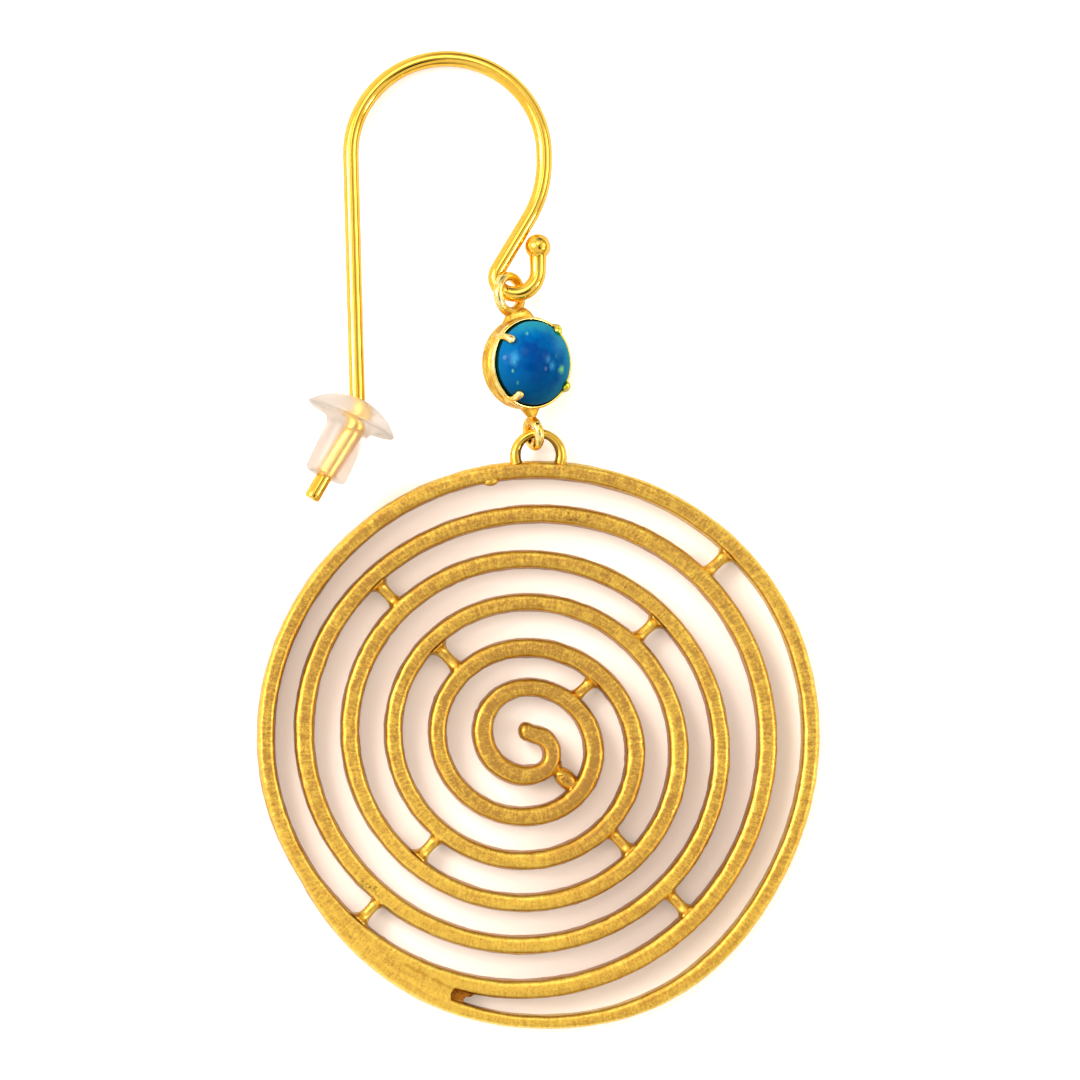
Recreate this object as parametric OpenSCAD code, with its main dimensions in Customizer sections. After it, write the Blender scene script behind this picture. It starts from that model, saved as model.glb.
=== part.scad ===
// Spiral dangle earring, lying on a flat surface and seen from above.
// Millimetres. +Z is up, +X is right and +Y points towards the arch of the ear wire.
// z = 0 is the surface it lies on, and the origin is the middle of its footprint.
// The ear wire's loop holds a ring of the stone setting, and a second ring holds the drop's bail.

/* [Ear wire] */
// Diameter of the round ear wire
wire_d = 0.84; // [0.7:0.02:0.88]
// Straight leg between the bend in the stopper and the arch
leg_len = 13.66; // [12:0.01:16]
// Radius of the arch over the ear, to the middle of the wire
arch_r = 5.15; // [4.5:0.05:5.5]
// Lean of the front strand, past pointing straight down
front_lean = 31; // [26:1:34]
// Diameter of the ball at the end of the loop
ball_d = 1.36; // [1.2:0.02:1.4]
// Slope of the ear wire on the surface, from its arch up to its stopper
hook_slope = 6.1; // [6.1:0.1:7]

/* [Stopper] */
// Diameter of the soft stopper's cap
cap_d = 4.95; // [3.5:0.05:5]
// Height of the cap's dome above its edge
cap_rise = 0.9; // [0.6:0.05:1.2]
// Diameter of the stopper's body
stopper_d = 2.3; // [2:0.1:2.8]
// Length of the body below the cap's edge
stopper_len = 3.4; // [2.6:0.1:4]

/* [Stone and setting] */
// Diameter of the round stone
stone_d = 4.5; // [4:0.1:4.6]
// Height of the stone's dome above its edge
dome_h = 1.5; // [0.9:0.1:1.8]
// Outer diameter of the cup
cup_d = 4.92; // [4.9:0.02:5.1]
// Depth of the cup, from its back to its rim
cup_depth = 1.3; // [1.1:0.05:1.5]
// Side roll of the setting on the surface
cup_roll = 28; // [22:1:30]
// Turn of the setting about its own axis
cup_turn = 10; // [9:0.1:11]
// Wire diameter of the two soldered rings
ring_wire_d = 0.49; // [0.4:0.01:0.52]

/* [Spiral drop] */
// Distance between neighbouring turns
pitch = 2.29; // [2.2:0.01:2.35]
// Usual width of the strip
strip_w = 1.06; // [0.96:0.02:1.14]
// Thickness of the casting
strip_t = 1.3; // [1.1:0.05:1.5]
// Waist diameter of the short bars between the turns
bar_d = 0.68; // [0.5:0.02:0.8]
// Wire diameter of the bail on the rim
bail_wire_d = 0.48; // [0.4:0.01:0.5]

/* [Hidden] */

gap = 0.02;
eps = 0.01;
wire_r = wire_d / 2;
ball_r = ball_d / 2;

// Unit vector in the plane at an angle.
function along(a) = [cos(a), sin(a)];

// Smooth curve through the rows of a table, column 0 being the position.
function row_slope(rows, col, i) =
    let (a = rows[max(i - 1, 0)], b = rows[min(i + 1, len(rows) - 1)])
    (b[col] - a[col]) / (b[0] - a[0]);
function row_before(rows, at) =
    max([for (i = [0 : len(rows) - 2]) if (i == 0 || rows[i][0] <= at) i]);
function smooth(rows, col, at) =
    let (
        i = row_before(rows, at),
        step = rows[i + 1][0] - rows[i][0],
        t = (at - rows[i][0]) / step,
        s0 = row_slope(rows, col, i) * step,
        s1 = row_slope(rows, col, i + 1) * step,
        y0 = rows[i][col],
        y1 = rows[i + 1][col]
    )
    y0 + t * (s0 + t * (3 * (y1 - y0) - 2 * s0 - s1 + t * (2 * (y0 - y1) + s0 + s1)));

// The ear wire lies in one plane, whose origin is the middle of the arch.
hook_x = -4.87;
hook_y = 20.42;
end_heading = 60;
leg_heading = 91.4;
end_len = 4.5;
bend_r = 1.6;
// Bends from the blunt end: [straight run before it, bend radius, turn to the left].
WIRE_BENDS = [
    [end_len, bend_r, leg_heading - end_heading],
    [leg_len, arch_r, -90 - leg_heading],
    [0.42, 6, -front_lean],
    [3.17, 0.85, 100],
    [0, 1.25, front_lean + 80],
    [1.3, 0, 0],
];
wire_start = [-7.34, -4.72 - leg_len];
arch_above = 0.12;
wire_sides = 16;
bend_step = 10;

// Stations of the bent wire: [x, y, heading].
function wire_path(i, at, head) =
    i == len(WIRE_BENDS) ? [] :
    let (
        row = WIRE_BENDS[i],
        turn = row[2],
        side = sign(turn),
        in_bend = at + row[0] * along(head),
        hub = in_bend + side * row[1] * along(head + 90),
        steps = ceil(abs(turn) / bend_step),
        arc = [
            for (k = [1 : 1 : steps])
                let (h = head + turn * k / steps, p = hub - side * row[1] * along(h + 90))
                [p[0], p[1], h]
        ],
        out = steps > 0 ? [arc[steps - 1][0], arc[steps - 1][1]] : in_bend,
        start = row[0] > 0 ? [[in_bend[0], in_bend[1], head]] : []
    )
    concat(start, arc, wire_path(i + 1, out, head + turn));

wire_route = wire_path(0, wire_start, end_heading);
loop_end = wire_route[len(wire_route) - 1];
ball_first = asin(wire_r / ball_r);
ball_rings = 8;

// Stations with their radius: the rounded blunt end, the wire, and the ball.
function wire_stations() = concat(
    [
        for (back = [[0, 0.8], [0.08, 1]])
            let (p = wire_start + back[0] * along(end_heading))
            [p[0], p[1], end_heading, wire_r * back[1]]
    ],
    [for (i = [0 : len(wire_route) - 2]) concat(wire_route[i], [wire_r])],
    [
        for (k = [0 : ball_rings])
            let (
                a = ball_first + (170 - ball_first) * k / ball_rings,
                p = [loop_end[0], loop_end[1]] - ball_r * cos(a) * along(loop_end[2])
            )
            [p[0], p[1], loop_end[2], ball_r * sin(a)]
    ]
);

// Closed round tube through stations [x, y, heading, radius] of a flat path.
module flat_tube(stations, sides) {
    n = len(stations);
    points = [
        for (s = stations, k = [0 : sides - 1])
            let (a = 360 * k / sides, left = s[3] * cos(a) * along(s[2] + 90))
            [s[0] + left[0], s[1] + left[1], s[3] * sin(a)]
    ];
    walls = [
        for (i = [0 : n - 2], k = [0 : sides - 1])
            let (a = i * sides, b = (k + 1) % sides)
            [a + k, a + sides + k, a + sides + b, a + b]
    ];
    caps = [
        [for (k = [0 : sides - 1]) k],
        [for (k = [sides - 1 : -1 : 0]) (n - 1) * sides + k],
    ];
    polyhedron(points, concat(walls, caps), convexity = 8);
}

// Puts what is drawn in the plane of the ear wire onto the surface, resting on its arch.
module in_hook_plane() {
    apex = arch_r + arch_above;
    translate([hook_x, hook_y, wire_r * cos(hook_slope) + apex * sin(hook_slope)])
        rotate([-hook_slope, 0, 0])
            children();
}

module ear_hook() {
    color("gold") in_hook_plane() flat_tube(wire_stations(), wire_sides);
}

// The stopper stands on the bent end of the wire, in the plane of the wire.
stopper_lean = 24.5;
stopper_at = [-5.21, -0.44 - leg_len];
cap_edge_t = 0.1;
cap_steps = 10;
bore_r = wire_r + 0.09;
elbow_r = bore_r + 0.03;
body_round = 0.25;
neck_round = 0.4;
neck_drop = 0.3;
to_corner = end_len + bend_r * tan((leg_heading - end_heading) / 2);
bend_corner = wire_start + to_corner * along(end_heading);

// Half outline of the stopper: [radius, height above the cap's edge].
function stopper_outline() =
    let (
        cap_r = cap_d / 2,
        body_r = stopper_d / 2,
        dome_r = (cap_r * cap_r + cap_rise * cap_rise) / (2 * cap_rise),
        dome_a = asin(cap_r / dome_r)
    )
    concat(
        [[0, -stopper_len]],
        [
            for (a = [0 : 30 : 90])
                [body_r - body_round * (1 - sin(a)), body_round * (1 - cos(a)) - stopper_len]
        ],
        [
            for (a = [0 : 30 : 90])
                [body_r + neck_round * (1 - cos(a)), neck_round * sin(a) - neck_drop]
        ],
        [[cap_r - 0.35, 0], [cap_r - 0.08, -cap_edge_t]],
        [
            for (k = [0 : cap_steps])
                let (a = dome_a * (1 - k / cap_steps))
                [dome_r * sin(a), cap_rise - dome_r * (1 - cos(a))]
        ]
    );

module ear_stopper() {
    color("seashell", 0.6) in_hook_plane()
        difference() {
            translate([stopper_at[0], stopper_at[1], 0])
                rotate([0, 0, -stopper_lean])
                    rotate([-90, 0, 0])
                        rotate_extrude($fn = 64) polygon(stopper_outline());
            translate([bend_corner[0], bend_corner[1], 0]) {
                for (heading = [end_heading + 180, leg_heading])
                    rotate([0, 0, heading])
                        rotate([0, 90, 0])
                            cylinder(r = bore_r, h = 2 * stopper_len, $fn = 32);
                sphere(r = elbow_r, $fn = 32);
            }
        }
}

// The setting leans on one side of its back, with its two rings in its own plane.
cup_x = -1.07;
cup_y = 9.38;
stone_r = stone_d / 2;
cup_r = cup_d / 2;
rim_t = 0.16;
seat_z = 0.5;
claw_r = 0.22;
claw_bead_r = 0.27;
top_ring_z = 0.33;
low_ring_z = 0.29;
neck_z = 0.45;
neck_sunk = 0.25;
rim_depth = 0.25;
top_ring_r = 0.95;
low_ring_r = 0.67;
ring_reach = 3.76;
top_ring_tip = 30;
low_ring_tip = -4;
dome_r = (stone_r * stone_r + dome_h * dome_h) / (2 * dome_h);
girdle_z = cup_depth + 0.07;

// Puts the setting on the surface: turned about its axis and rolled onto its back edge.
module in_setting() {
    translate([cup_x, cup_y, cup_r * sin(cup_roll)])
        rotate([0, cup_roll, 0])
            rotate([0, 0, cup_turn])
                children();
}

// The stone's form, grown by a clearance all round.
module stone_form(grow) {
    translate([0, 0, seat_z - grow])
        cylinder(r = stone_r + grow, h = girdle_z - seat_z + grow + eps, $fn = 72);
    intersection() {
        translate([0, 0, girdle_z])
            cylinder(r = stone_r + grow, h = dome_h + 1, $fn = 72);
        translate([0, 0, girdle_z + dome_h - dome_r])
            sphere(r = dome_r + grow, $fn = 72);
    }
}

// Ring of round wire about the z axis.
module wire_ring(radius, wire, sweep = 360) {
    rotate_extrude(angle = sweep, $fn = 48)
        translate([radius, 0])
            circle(d = wire, $fn = 20);
}

// One claw, from the cup's wall up to a bead that leans over the stone.
module claw() {
    translate([cup_r - rim_t / 2 - 0.02, 0, 0.3]) {
        cylinder(r = claw_r, h = girdle_z + 0.1, $fn = 20);
        translate([-0.08, 0, girdle_z + 0.12]) sphere(r = claw_bead_r, $fn = 20);
    }
}

// Short solder neck from the cup's wall to the wire of a ring.
module solder_neck(shift, ring_r, wide) {
    translate([shift, cup_r - neck_sunk, neck_z])
        rotate([-90, 0, 0])
            cylinder(r1 = wide, r2 = wide * 0.7, h = ring_reach - ring_r - cup_r + neck_sunk, $fn = 24);
}

module stone_setting() {
    color("gold") in_setting()
        difference() {
            union() {
                cylinder(r = cup_r, h = cup_depth, $fn = 72);
                for (k = [0 : 3]) rotate([0, 0, 45 + 90 * k]) claw();
                solder_neck(0.15, top_ring_r, 0.5);
                rotate([0, 0, 180]) solder_neck(0, low_ring_r, 0.34);
                translate([0, ring_reach, top_ring_z])
                    rotate([0, top_ring_tip, 0])
                        wire_ring(top_ring_r, ring_wire_d);
                translate([0, -ring_reach, low_ring_z])
                    rotate([0, 90 + low_ring_tip, 0])
                        wire_ring(low_ring_r, ring_wire_d);
            }
            stone_form(gap);
            translate([0, 0, cup_depth - rim_depth])
                cylinder(r = cup_r - rim_t, h = rim_depth + eps, $fn = 72);
        }
}

module cabochon() {
    color("steelblue") in_setting() stone_form(0);
}

// The spiral strip winds out from its inner tip, and its outer end rides back over the turn before.
drop_x = 0.68;
drop_y = -10.77;
first_r = 1.77;
oval = 0.16;
oval_turn = 0.33;
tip_turn = -0.54;
last_turn = 6.17;
overlap_turn = 5.5;
turn_steps = 48;
// Where the hand-made strip strays from the true spiral: [turn, offset outward, width factor].
STRIP_ROWS = [
    [-0.54, 0.12, 0.95],
    [-0.34, -0.2, 1.0],
    [-0.2, -0.06, 1.0],
    [-0.1, 0.1, 1.0],
    [0.05, 0.06, 1.15],
    [0.27, -0.14, 1.15],
    [0.48, 0.1, 1.0],
    [0.8, -0.05, 1.12],
    [1.2, 0.02, 1.0],
    [1.7, -0.12, 1.1],
    [2.1, 0.07, 1.02],
    [2.5, 0.05, 0.98],
    [2.8, -0.07, 1.1],
    [3.05, 0.02, 1.0],
    [3.3, 0.12, 1.05],
    [3.6, 0, 1.0],
    [3.87, -0.14, 1.03],
    [4.05, 0, 1.02],
    [4.26, 0.26, 1.1],
    [4.45, 0.05, 1.0],
    [4.63, 0.52, 1.1],
    [4.83, -0.15, 1.1],
    [5.02, 0.03, 1.05],
    [5.2, 0.08, 0.98],
    [5.35, -0.13, 0.96],
    [5.5, 0.22, 0.98],
    [5.66, 0.58, 1.0],
    [5.82, -0.21, 0.98],
    [5.92, -0.1, 0.96],
    [6, -0.57, 0.76],
    [6.06, -1.04, 0.85],
    [6.17, -2.35, 0.95],
];
// Turn at which each short bar leaves the strip towards the next turn out.
BAR_TURNS = [-0.13, 0.63, 1.38, 1.88, 2.12, 2.63, 3.38, 3.88, 4.12, 4.63];

bar_sunk = 0.2;

// A turn counts from straight below the middle, clockwise as seen from above.
function turn_angle(n) = -90 - 360 * n;
function strip_r(n) =
    first_r + pitch * n + oval * cos(720 * (n - oval_turn)) + smooth(STRIP_ROWS, 1, n);
function strip_half(n) = strip_w / 2 * smooth(STRIP_ROWS, 2, n);
function strip_at(n) = strip_r(n) * along(turn_angle(n));
function strip_side(n) =
    let (d = strip_at(n + 0.004) - strip_at(n - 0.004))
    [-d[1], d[0]] / norm(d);

// Flat outline of the strip between two turns.
module strip_outline(from, to) {
    steps = ceil((to - from) * turn_steps);
    stops = [for (k = [0 : steps]) from + (to - from) * k / steps];
    outer = [for (n = stops) strip_at(n) + strip_half(n) * strip_side(n)];
    inner = [for (n = stops) strip_at(n) - strip_half(n) * strip_side(n)];
    polygon(concat(outer, [for (i = [steps : -1 : 0]) inner[i]]));
}

// One bar: a waisted round, its ends sunk in the two turns that it joins.
module spiral_bar(n) {
    from = strip_r(n) + bar_sunk;
    to = strip_r(n + 1) - bar_sunk;
    steps = 8;
    waist = bar_d / 2;
    flare = strip_t / 2 - 0.05 - waist;
    outline = [
        for (k = [0 : steps])
            let (t = k / steps)
            [waist + flare * pow(2 * t - 1, 4), (to - from) * t]
    ];
    rotate([0, 0, turn_angle(n)])
        translate([from, 0, strip_t / 2])
            rotate([0, 90, 0])
                rotate_extrude($fn = 32)
                    polygon(concat([[0, 0]], outline, [[0, to - from]]));
}

bail_x = 0.58;
bail_r = 1.22;
bail_z = strip_t - 0.26;
bail_rise = 0.22;
bail_under = 20;
rim_top = strip_r(overlap_turn) + strip_half(overlap_turn);
nub_turn = 5.478;
nub_r = 0.28;

module bail() {
    translate([bail_x, rim_top + bail_rise, bail_z])
        rotate([0, 0, -bail_under])
            wire_ring(bail_r, bail_wire_d, 180 + 2 * bail_under);
}

module spiral_drop() {
    color("goldenrod") translate([-drop_x, drop_y, 0])
        union() {
            linear_extrude(strip_t) strip_outline(tip_turn, overlap_turn);
            linear_extrude(strip_t) strip_outline(overlap_turn, last_turn);
            for (n = BAR_TURNS) spiral_bar(n);
            rotate([0, 0, turn_angle(nub_turn)])
                translate([strip_r(nub_turn) - strip_half(nub_turn), 0, strip_t / 2])
                    sphere(r = nub_r, $fn = 20);
            bail();
        }
}

ear_hook();
ear_stopper();
stone_setting();
cabochon();
spiral_drop();
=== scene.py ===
"""Spiral dangle earring, lying on a pale table and seen from above.

The earring is a bent ear wire with a soft stopper, a round blue stone in a cup with
four claws and two soldered rings, and a cast flat spiral with a bail on its rim.
Shapes are worked out in millimetres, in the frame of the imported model, and each
finished mesh is brought to metres.
"""

import logging
import math
from dataclasses import dataclass
from enum import Enum
from typing import Callable, Sequence, Union

import bmesh
import bpy
from mathutils import Matrix, Vector


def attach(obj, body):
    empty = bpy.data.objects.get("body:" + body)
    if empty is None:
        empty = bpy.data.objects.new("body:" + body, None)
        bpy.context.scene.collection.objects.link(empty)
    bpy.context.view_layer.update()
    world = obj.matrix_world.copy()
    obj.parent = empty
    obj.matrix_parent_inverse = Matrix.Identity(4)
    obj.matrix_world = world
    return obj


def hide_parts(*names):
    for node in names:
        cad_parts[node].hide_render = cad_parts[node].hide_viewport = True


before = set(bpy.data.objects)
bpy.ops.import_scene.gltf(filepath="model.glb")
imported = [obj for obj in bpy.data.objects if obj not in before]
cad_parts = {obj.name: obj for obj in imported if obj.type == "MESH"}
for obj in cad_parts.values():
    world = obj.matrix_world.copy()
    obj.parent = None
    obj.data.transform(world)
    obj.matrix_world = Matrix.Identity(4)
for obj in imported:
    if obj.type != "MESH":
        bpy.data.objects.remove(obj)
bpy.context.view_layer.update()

LOG = logging.getLogger("earring")
MM = 0.001
BODY = "root"
GUIDE_MARKS = ("swell", "turn", "stray", "breadth", "fullness", "reach", "heading")

Socket = bpy.types.NodeSocket
Outputs = bpy.types.bpy_prop_collection
Object = bpy.types.Object
Material = bpy.types.Material
Pair = tuple[float, float]
Point = tuple[float, float, float]
Spot = tuple[float, float, float, float]
Colour = tuple[float, float, float]
Ends = tuple[Pair, Pair]
Value = Union[Socket, float, int, str, tuple, Vector, Material]
Path = list[Point]

# Places and turns that a piece shares with its finish or with the table.
CUP_AT: Pair = (-1.07, 9.38)
CUP_ROLL = 28.0
SPIRAL_AT: Pair = (-0.68, -10.77)


class SocketKind(Enum):
    """Kinds of socket that the trees and groups use."""

    GEOMETRY = "NodeSocketGeometry"
    FLOAT = "NodeSocketFloat"
    INT = "NodeSocketInt"
    VECTOR = "NodeSocketVector"
    MATERIAL = "NodeSocketMaterial"


class Union3D(Enum):
    """How one closed solid is joined to another."""

    ADD = "UNION"
    CUT = "DIFFERENCE"


class Graph:
    """Adds nodes to one node tree and joins them."""

    def __init__(self, tree: bpy.types.NodeTree) -> None:
        """Keeps the node tree that is filled."""
        self.tree = tree

    def feed(self, socket: Socket, value: Value) -> None:
        """Links a socket, or sets its plain value.

        Args:
            socket: The input that is fed.
            value: Another node's output, or a constant.
        """
        if isinstance(value, Socket):
            self.tree.links.new(value, socket)
        else:
            socket.default_value = value

    def add(self, kind: str, inputs: dict | None = None, **settings: object) -> bpy.types.Node:
        """Adds one node.

        Args:
            kind: The node's type name.
            inputs: Values or sockets for its inputs, by name or number.
            **settings: The node's own properties.

        Returns:
            The new node.
        """
        node = self.tree.nodes.new(kind)
        for name, value in settings.items():
            setattr(node, name, value)
        for name, value in (inputs or {}).items():
            self.feed(node.inputs[name], value)
        return node

    def out(self, kind: str, inputs: dict | None = None, **settings: object) -> Socket:
        """Adds one node, as add does, and gives its first output."""
        return self.add(kind, inputs, **settings).outputs[0]

    def mark(self, name: str) -> Socket:
        """Reads a number that the guide carries."""
        return self.add("GeometryNodeInputNamedAttribute", {"Name": name}, data_type="FLOAT").outputs["Attribute"]

    def math(self, operation: str, a: Value, b: Value = 0.0, c: Value = 0.0) -> Socket:
        """Adds a Math node and gives its output."""
        return self.out("ShaderNodeMath", {0: a, 1: b, 2: c}, operation=operation)

    def times(self, a: Value, b: Value) -> Socket:
        """Multiplies two numbers."""
        return self.math("MULTIPLY", a, b)

    def plus(self, a: Value, b: Value) -> Socket:
        """Adds two numbers."""
        return self.math("ADD", a, b)

    def minus(self, a: Value, b: Value) -> Socket:
        """Takes the second number from the first."""
        return self.math("SUBTRACT", a, b)

    def times_plus(self, a: Value, b: Value, c: Value) -> Socket:
        """Multiplies two numbers and adds a third."""
        return self.math("MULTIPLY_ADD", a, b, c)

    def join(self, x: Value = 0.0, y: Value = 0.0, z: Value = 0.0) -> Socket:
        """Makes a vector from three numbers."""
        return self.out("ShaderNodeCombineXYZ", {"X": x, "Y": y, "Z": z})

    def vector(self, operation: str, a: Value, b: Value = (0, 0, 0), scale: Value = 1.0) -> Socket:
        """Adds a Vector Math node.

        Args:
            operation: The operation's name.
            a: First vector.
            b: Second vector.
            scale: Factor, for SCALE alone.

        Returns:
            The vector that it gives, or the number for a dot product or a length.
        """
        node = self.add("ShaderNodeVectorMath", {0: a, 1: b, 3: scale}, operation=operation)
        single = operation in ("DOT_PRODUCT", "LENGTH", "DISTANCE")
        return node.outputs["Value" if single else "Vector"]

    def ramp(self, value: Value, low: float, high: float, out_low: float = 0.0, out_high: float = 1.0) -> Socket:
        """Maps the range from low to high smoothly onto the one from out_low to out_high."""
        sizes = {"Value": value, "From Min": low, "From Max": high, "To Min": out_low, "To Max": out_high}
        return self.add("ShaderNodeMapRange", sizes, interpolation_type="SMOOTHSTEP").outputs["Result"]

    def noise(self, place: Value, scale: Value, detail: float = 3.0, rough: float = 0.55) -> Socket:
        """Adds a noise of the given scale and gives its value, near 0.5."""
        sizes = {"Vector": place, "Scale": scale, "Detail": detail, "Roughness": rough}
        return self.out("ShaderNodeTexNoise", sizes)

    def mix(self, share: Value, a: Value, b: Value) -> Socket:
        """Mixes two colours, by a share of 0 for the first and 1 for the second."""
        colours = (c if isinstance(c, Socket) else (*c, 1.0) for c in (a, b))
        return self.add("ShaderNodeMix", dict(zip((0, 6, 7), (share, *colours))), data_type="RGBA").outputs[2]


class GrowTree:
    """A Geometry Nodes tree with named inputs, which grows a mesh from a guide."""

    def __init__(self, name: str, sizes: dict[str, SocketKind]) -> None:
        """Makes the tree with its named inputs.

        Args:
            name: The tree's name.
            sizes: The name and kind of each input after the guide.
        """
        self.tree = bpy.data.node_groups.new(name, "GeometryNodeTree")
        make = self.tree.interface.new_socket
        make(name="Guide", in_out="INPUT", socket_type=SocketKind.GEOMETRY.value)
        for label, kind in {**sizes, "Metal": SocketKind.MATERIAL}.items():
            make(name=label, in_out="INPUT", socket_type=kind.value)
        make(name="Grown", in_out="OUTPUT", socket_type=SocketKind.GEOMETRY.value)
        self.graph = Graph(self.tree)
        self.given = self.graph.add("NodeGroupInput").outputs

    def close(self, grown: Socket) -> None:
        """Ends the tree in Realize Instances and Set Material.

        Args:
            grown: The geometry that it has grown.
        """
        g = self.graph
        real = g.out("GeometryNodeRealizeInstances", {"Geometry": grown})
        smooth = g.out("GeometryNodeSetShadeSmooth", {0: real})
        dressed = g.out("GeometryNodeSetMaterial", {0: smooth, "Material": self.given["Metal"]})
        g.add("NodeGroupOutput", {0: dressed})

    def grow(self, name: str, guide: bpy.types.Mesh, sizes: dict[str, object]) -> Object:
        """Runs the tree on a guide and keeps the result as a plain mesh.

        Args:
            name: The new object's name.
            guide: The mesh that guides the growth.
            sizes: A value for each named input.

        Returns:
            The object with its grown mesh and no modifier.
        """
        obj = linked(bpy.data.objects.new(name, guide))
        modifier = obj.modifiers.new("grow", "NODES")
        modifier.node_group = self.tree
        for item in self.tree.interface.items_tree:
            if item.in_out == "INPUT" and item.name in sizes:
                modifier[item.identifier] = sizes[item.name]
        return settle(obj)


def linked(obj: Object) -> Object:
    """Puts an object in the scene and gives it back."""
    bpy.context.scene.collection.objects.link(obj)
    return obj


def from_bmesh(name: str, bm: bmesh.types.BMesh) -> Object:
    """Turns a bmesh into an object in the scene.

    Args:
        name: The object's name.
        bm: The bmesh, which is freed.

    Returns:
        The object.
    """
    mesh = bpy.data.meshes.new(name)
    bm.to_mesh(mesh)
    bm.free()
    return linked(bpy.data.objects.new(name, mesh))


def turned(degrees: float, axis: str) -> Matrix:
    """Gives the turn by an angle about an axis."""
    return Matrix.Rotation(math.radians(degrees), 4, axis)


def settle(obj: Object) -> Object:
    """Turns an object's evaluated shape into its plain mesh and removes its modifiers.

    Args:
        obj: The object with its modifiers.

    Returns:
        The same object.
    """
    graph = bpy.context.evaluated_depsgraph_get()
    mesh = bpy.data.meshes.new_from_object(obj.evaluated_get(graph), preserve_all_data_layers=True, depsgraph=graph)
    obj.modifiers.clear()
    obj.data = mesh
    return obj


def guide_line(points: Sequence[Point], marks: dict[str, Sequence[float]], closed: bool = False) -> bpy.types.Mesh:
    """Makes a line of vertices that carries numbers along it.

    Args:
        points: The line's points.
        marks: A number for each point, by name.
        closed: Whether its last point joins its first.

    Returns:
        The mesh of the line.
    """
    count = len(points)
    edges = [(i, i + 1) for i in range(count - 1)] + ([(count - 1, 0)] if closed else [])
    mesh = bpy.data.meshes.new("guide")
    mesh.from_pydata([tuple(p) for p in points], edges, [])
    for name, values in marks.items():
        mesh.attributes.new(name, "FLOAT", "POINT").data.foreach_set("value", list(values))
    return mesh


def lathe(name: str, outline: Sequence[Pair], sides: int) -> Object:
    """Turns an outline about the z axis into a closed solid.

    Args:
        name: The object's name.
        outline: Points (radius, height), from the axis round to the axis.
        sides: How many sides the round form has.

    Returns:
        The turned object.
    """
    bm = bmesh.new()
    rings: list[list[bmesh.types.BMVert]] = []
    for radius, height in outline:
        count = 1 if radius == 0 else sides
        turns = [math.tau * k / sides for k in range(count)]
        rings.append([bm.verts.new((radius * math.cos(a), radius * math.sin(a), height)) for a in turns])
    for low, high in zip(rings, rings[1:]):
        for k in range(sides):
            corners = [low[k % len(low)], low[(k + 1) % len(low)], high[(k + 1) % len(high)], high[k % len(high)]]
            bm.faces.new(list(dict.fromkeys(corners))).smooth = True
    bmesh.ops.recalc_face_normals(bm, faces=bm.faces)
    return from_bmesh(name, bm)


def slab(name: str, corners: Sequence[Sequence[float]], low: float, top: float) -> Object:
    """Raises a flat outline into a closed slab.

    Args:
        name: The object's name.
        corners: The outline, seen from above.
        low: The height of its underside.
        top: The height of its top.

    Returns:
        The slab.
    """
    bm = bmesh.new()
    face = bm.faces.new([bm.verts.new((p[0], p[1], low)) for p in corners])
    grown = bmesh.ops.extrude_face_region(bm, geom=[face])["geom"]
    lift = [v for v in grown if isinstance(v, bmesh.types.BMVert)]
    bmesh.ops.translate(bm, verts=lift, vec=(0, 0, top - low))
    bmesh.ops.recalc_face_normals(bm, faces=bm.faces)
    return from_bmesh(name, bm)


def joined(base: Object, others: Sequence[Object], how: Union3D) -> Object:
    """Adds closed solids to a first one, or cuts them from it.

    Args:
        base: The solid that is kept.
        others: The solids that are used up.
        how: Whether they are added or cut.

    Returns:
        The first object, with its new mesh.
    """
    for other in others:
        solid = base.modifiers.new("solid", "BOOLEAN")
        solid.operation, solid.solver, solid.material_mode, solid.object = how.value, "MANIFOLD", "TRANSFER", other
    settle(base)
    for other in others:
        bpy.data.objects.remove(other)
    return base


def fused(base: Object, others: Sequence[Object], voxel: float, rounds: int) -> Object:
    """Melts overlapping solids into one, as casting and solder do.

    Args:
        base: The solid that is kept.
        others: The solids that are used up.
        voxel: The grid's size in millimetres.
        rounds: How often the surface is smoothed.

    Returns:
        The first object, with its new mesh.
    """
    bm = bmesh.new()
    for obj in (base, *others):
        bm.from_mesh(obj.data)
    bm.to_mesh(base.data)
    bm.free()
    for other in others:
        bpy.data.objects.remove(other)
    melt = base.modifiers.new("melt", "REMESH")
    melt.mode, melt.voxel_size, melt.use_smooth_shade = "VOXEL", voxel, True
    even = base.modifiers.new("even", "SMOOTH")
    even.factor, even.iterations = 0.5, rounds
    return settle(base)


def finish_piece(obj: Object, place: Matrix, materials: Sequence[Material], node: str) -> None:
    """Puts a finished piece in its place in metres and hands it to the frame.

    Args:
        obj: The piece, in millimetres.
        place: Its place in the earring, in millimetres.
        materials: Its materials.
        node: The solid that it stands for.
    """
    obj.data.transform(Matrix.Scale(MM, 4) @ place)
    if len(materials) == 1:
        obj.data.materials.clear()
        obj.data.materials.append(materials[0])
        obj.data.polygons.foreach_set("material_index", [0] * len(obj.data.polygons))
    for name in GUIDE_MARKS:
        if name in obj.data.attributes:
            obj.data.attributes.remove(obj.data.attributes[name])
    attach(obj, BODY)
    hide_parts(node)
    LOG.info("%s: %d faces", obj.name, len(obj.data.polygons))


# Shared shader groups.


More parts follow.
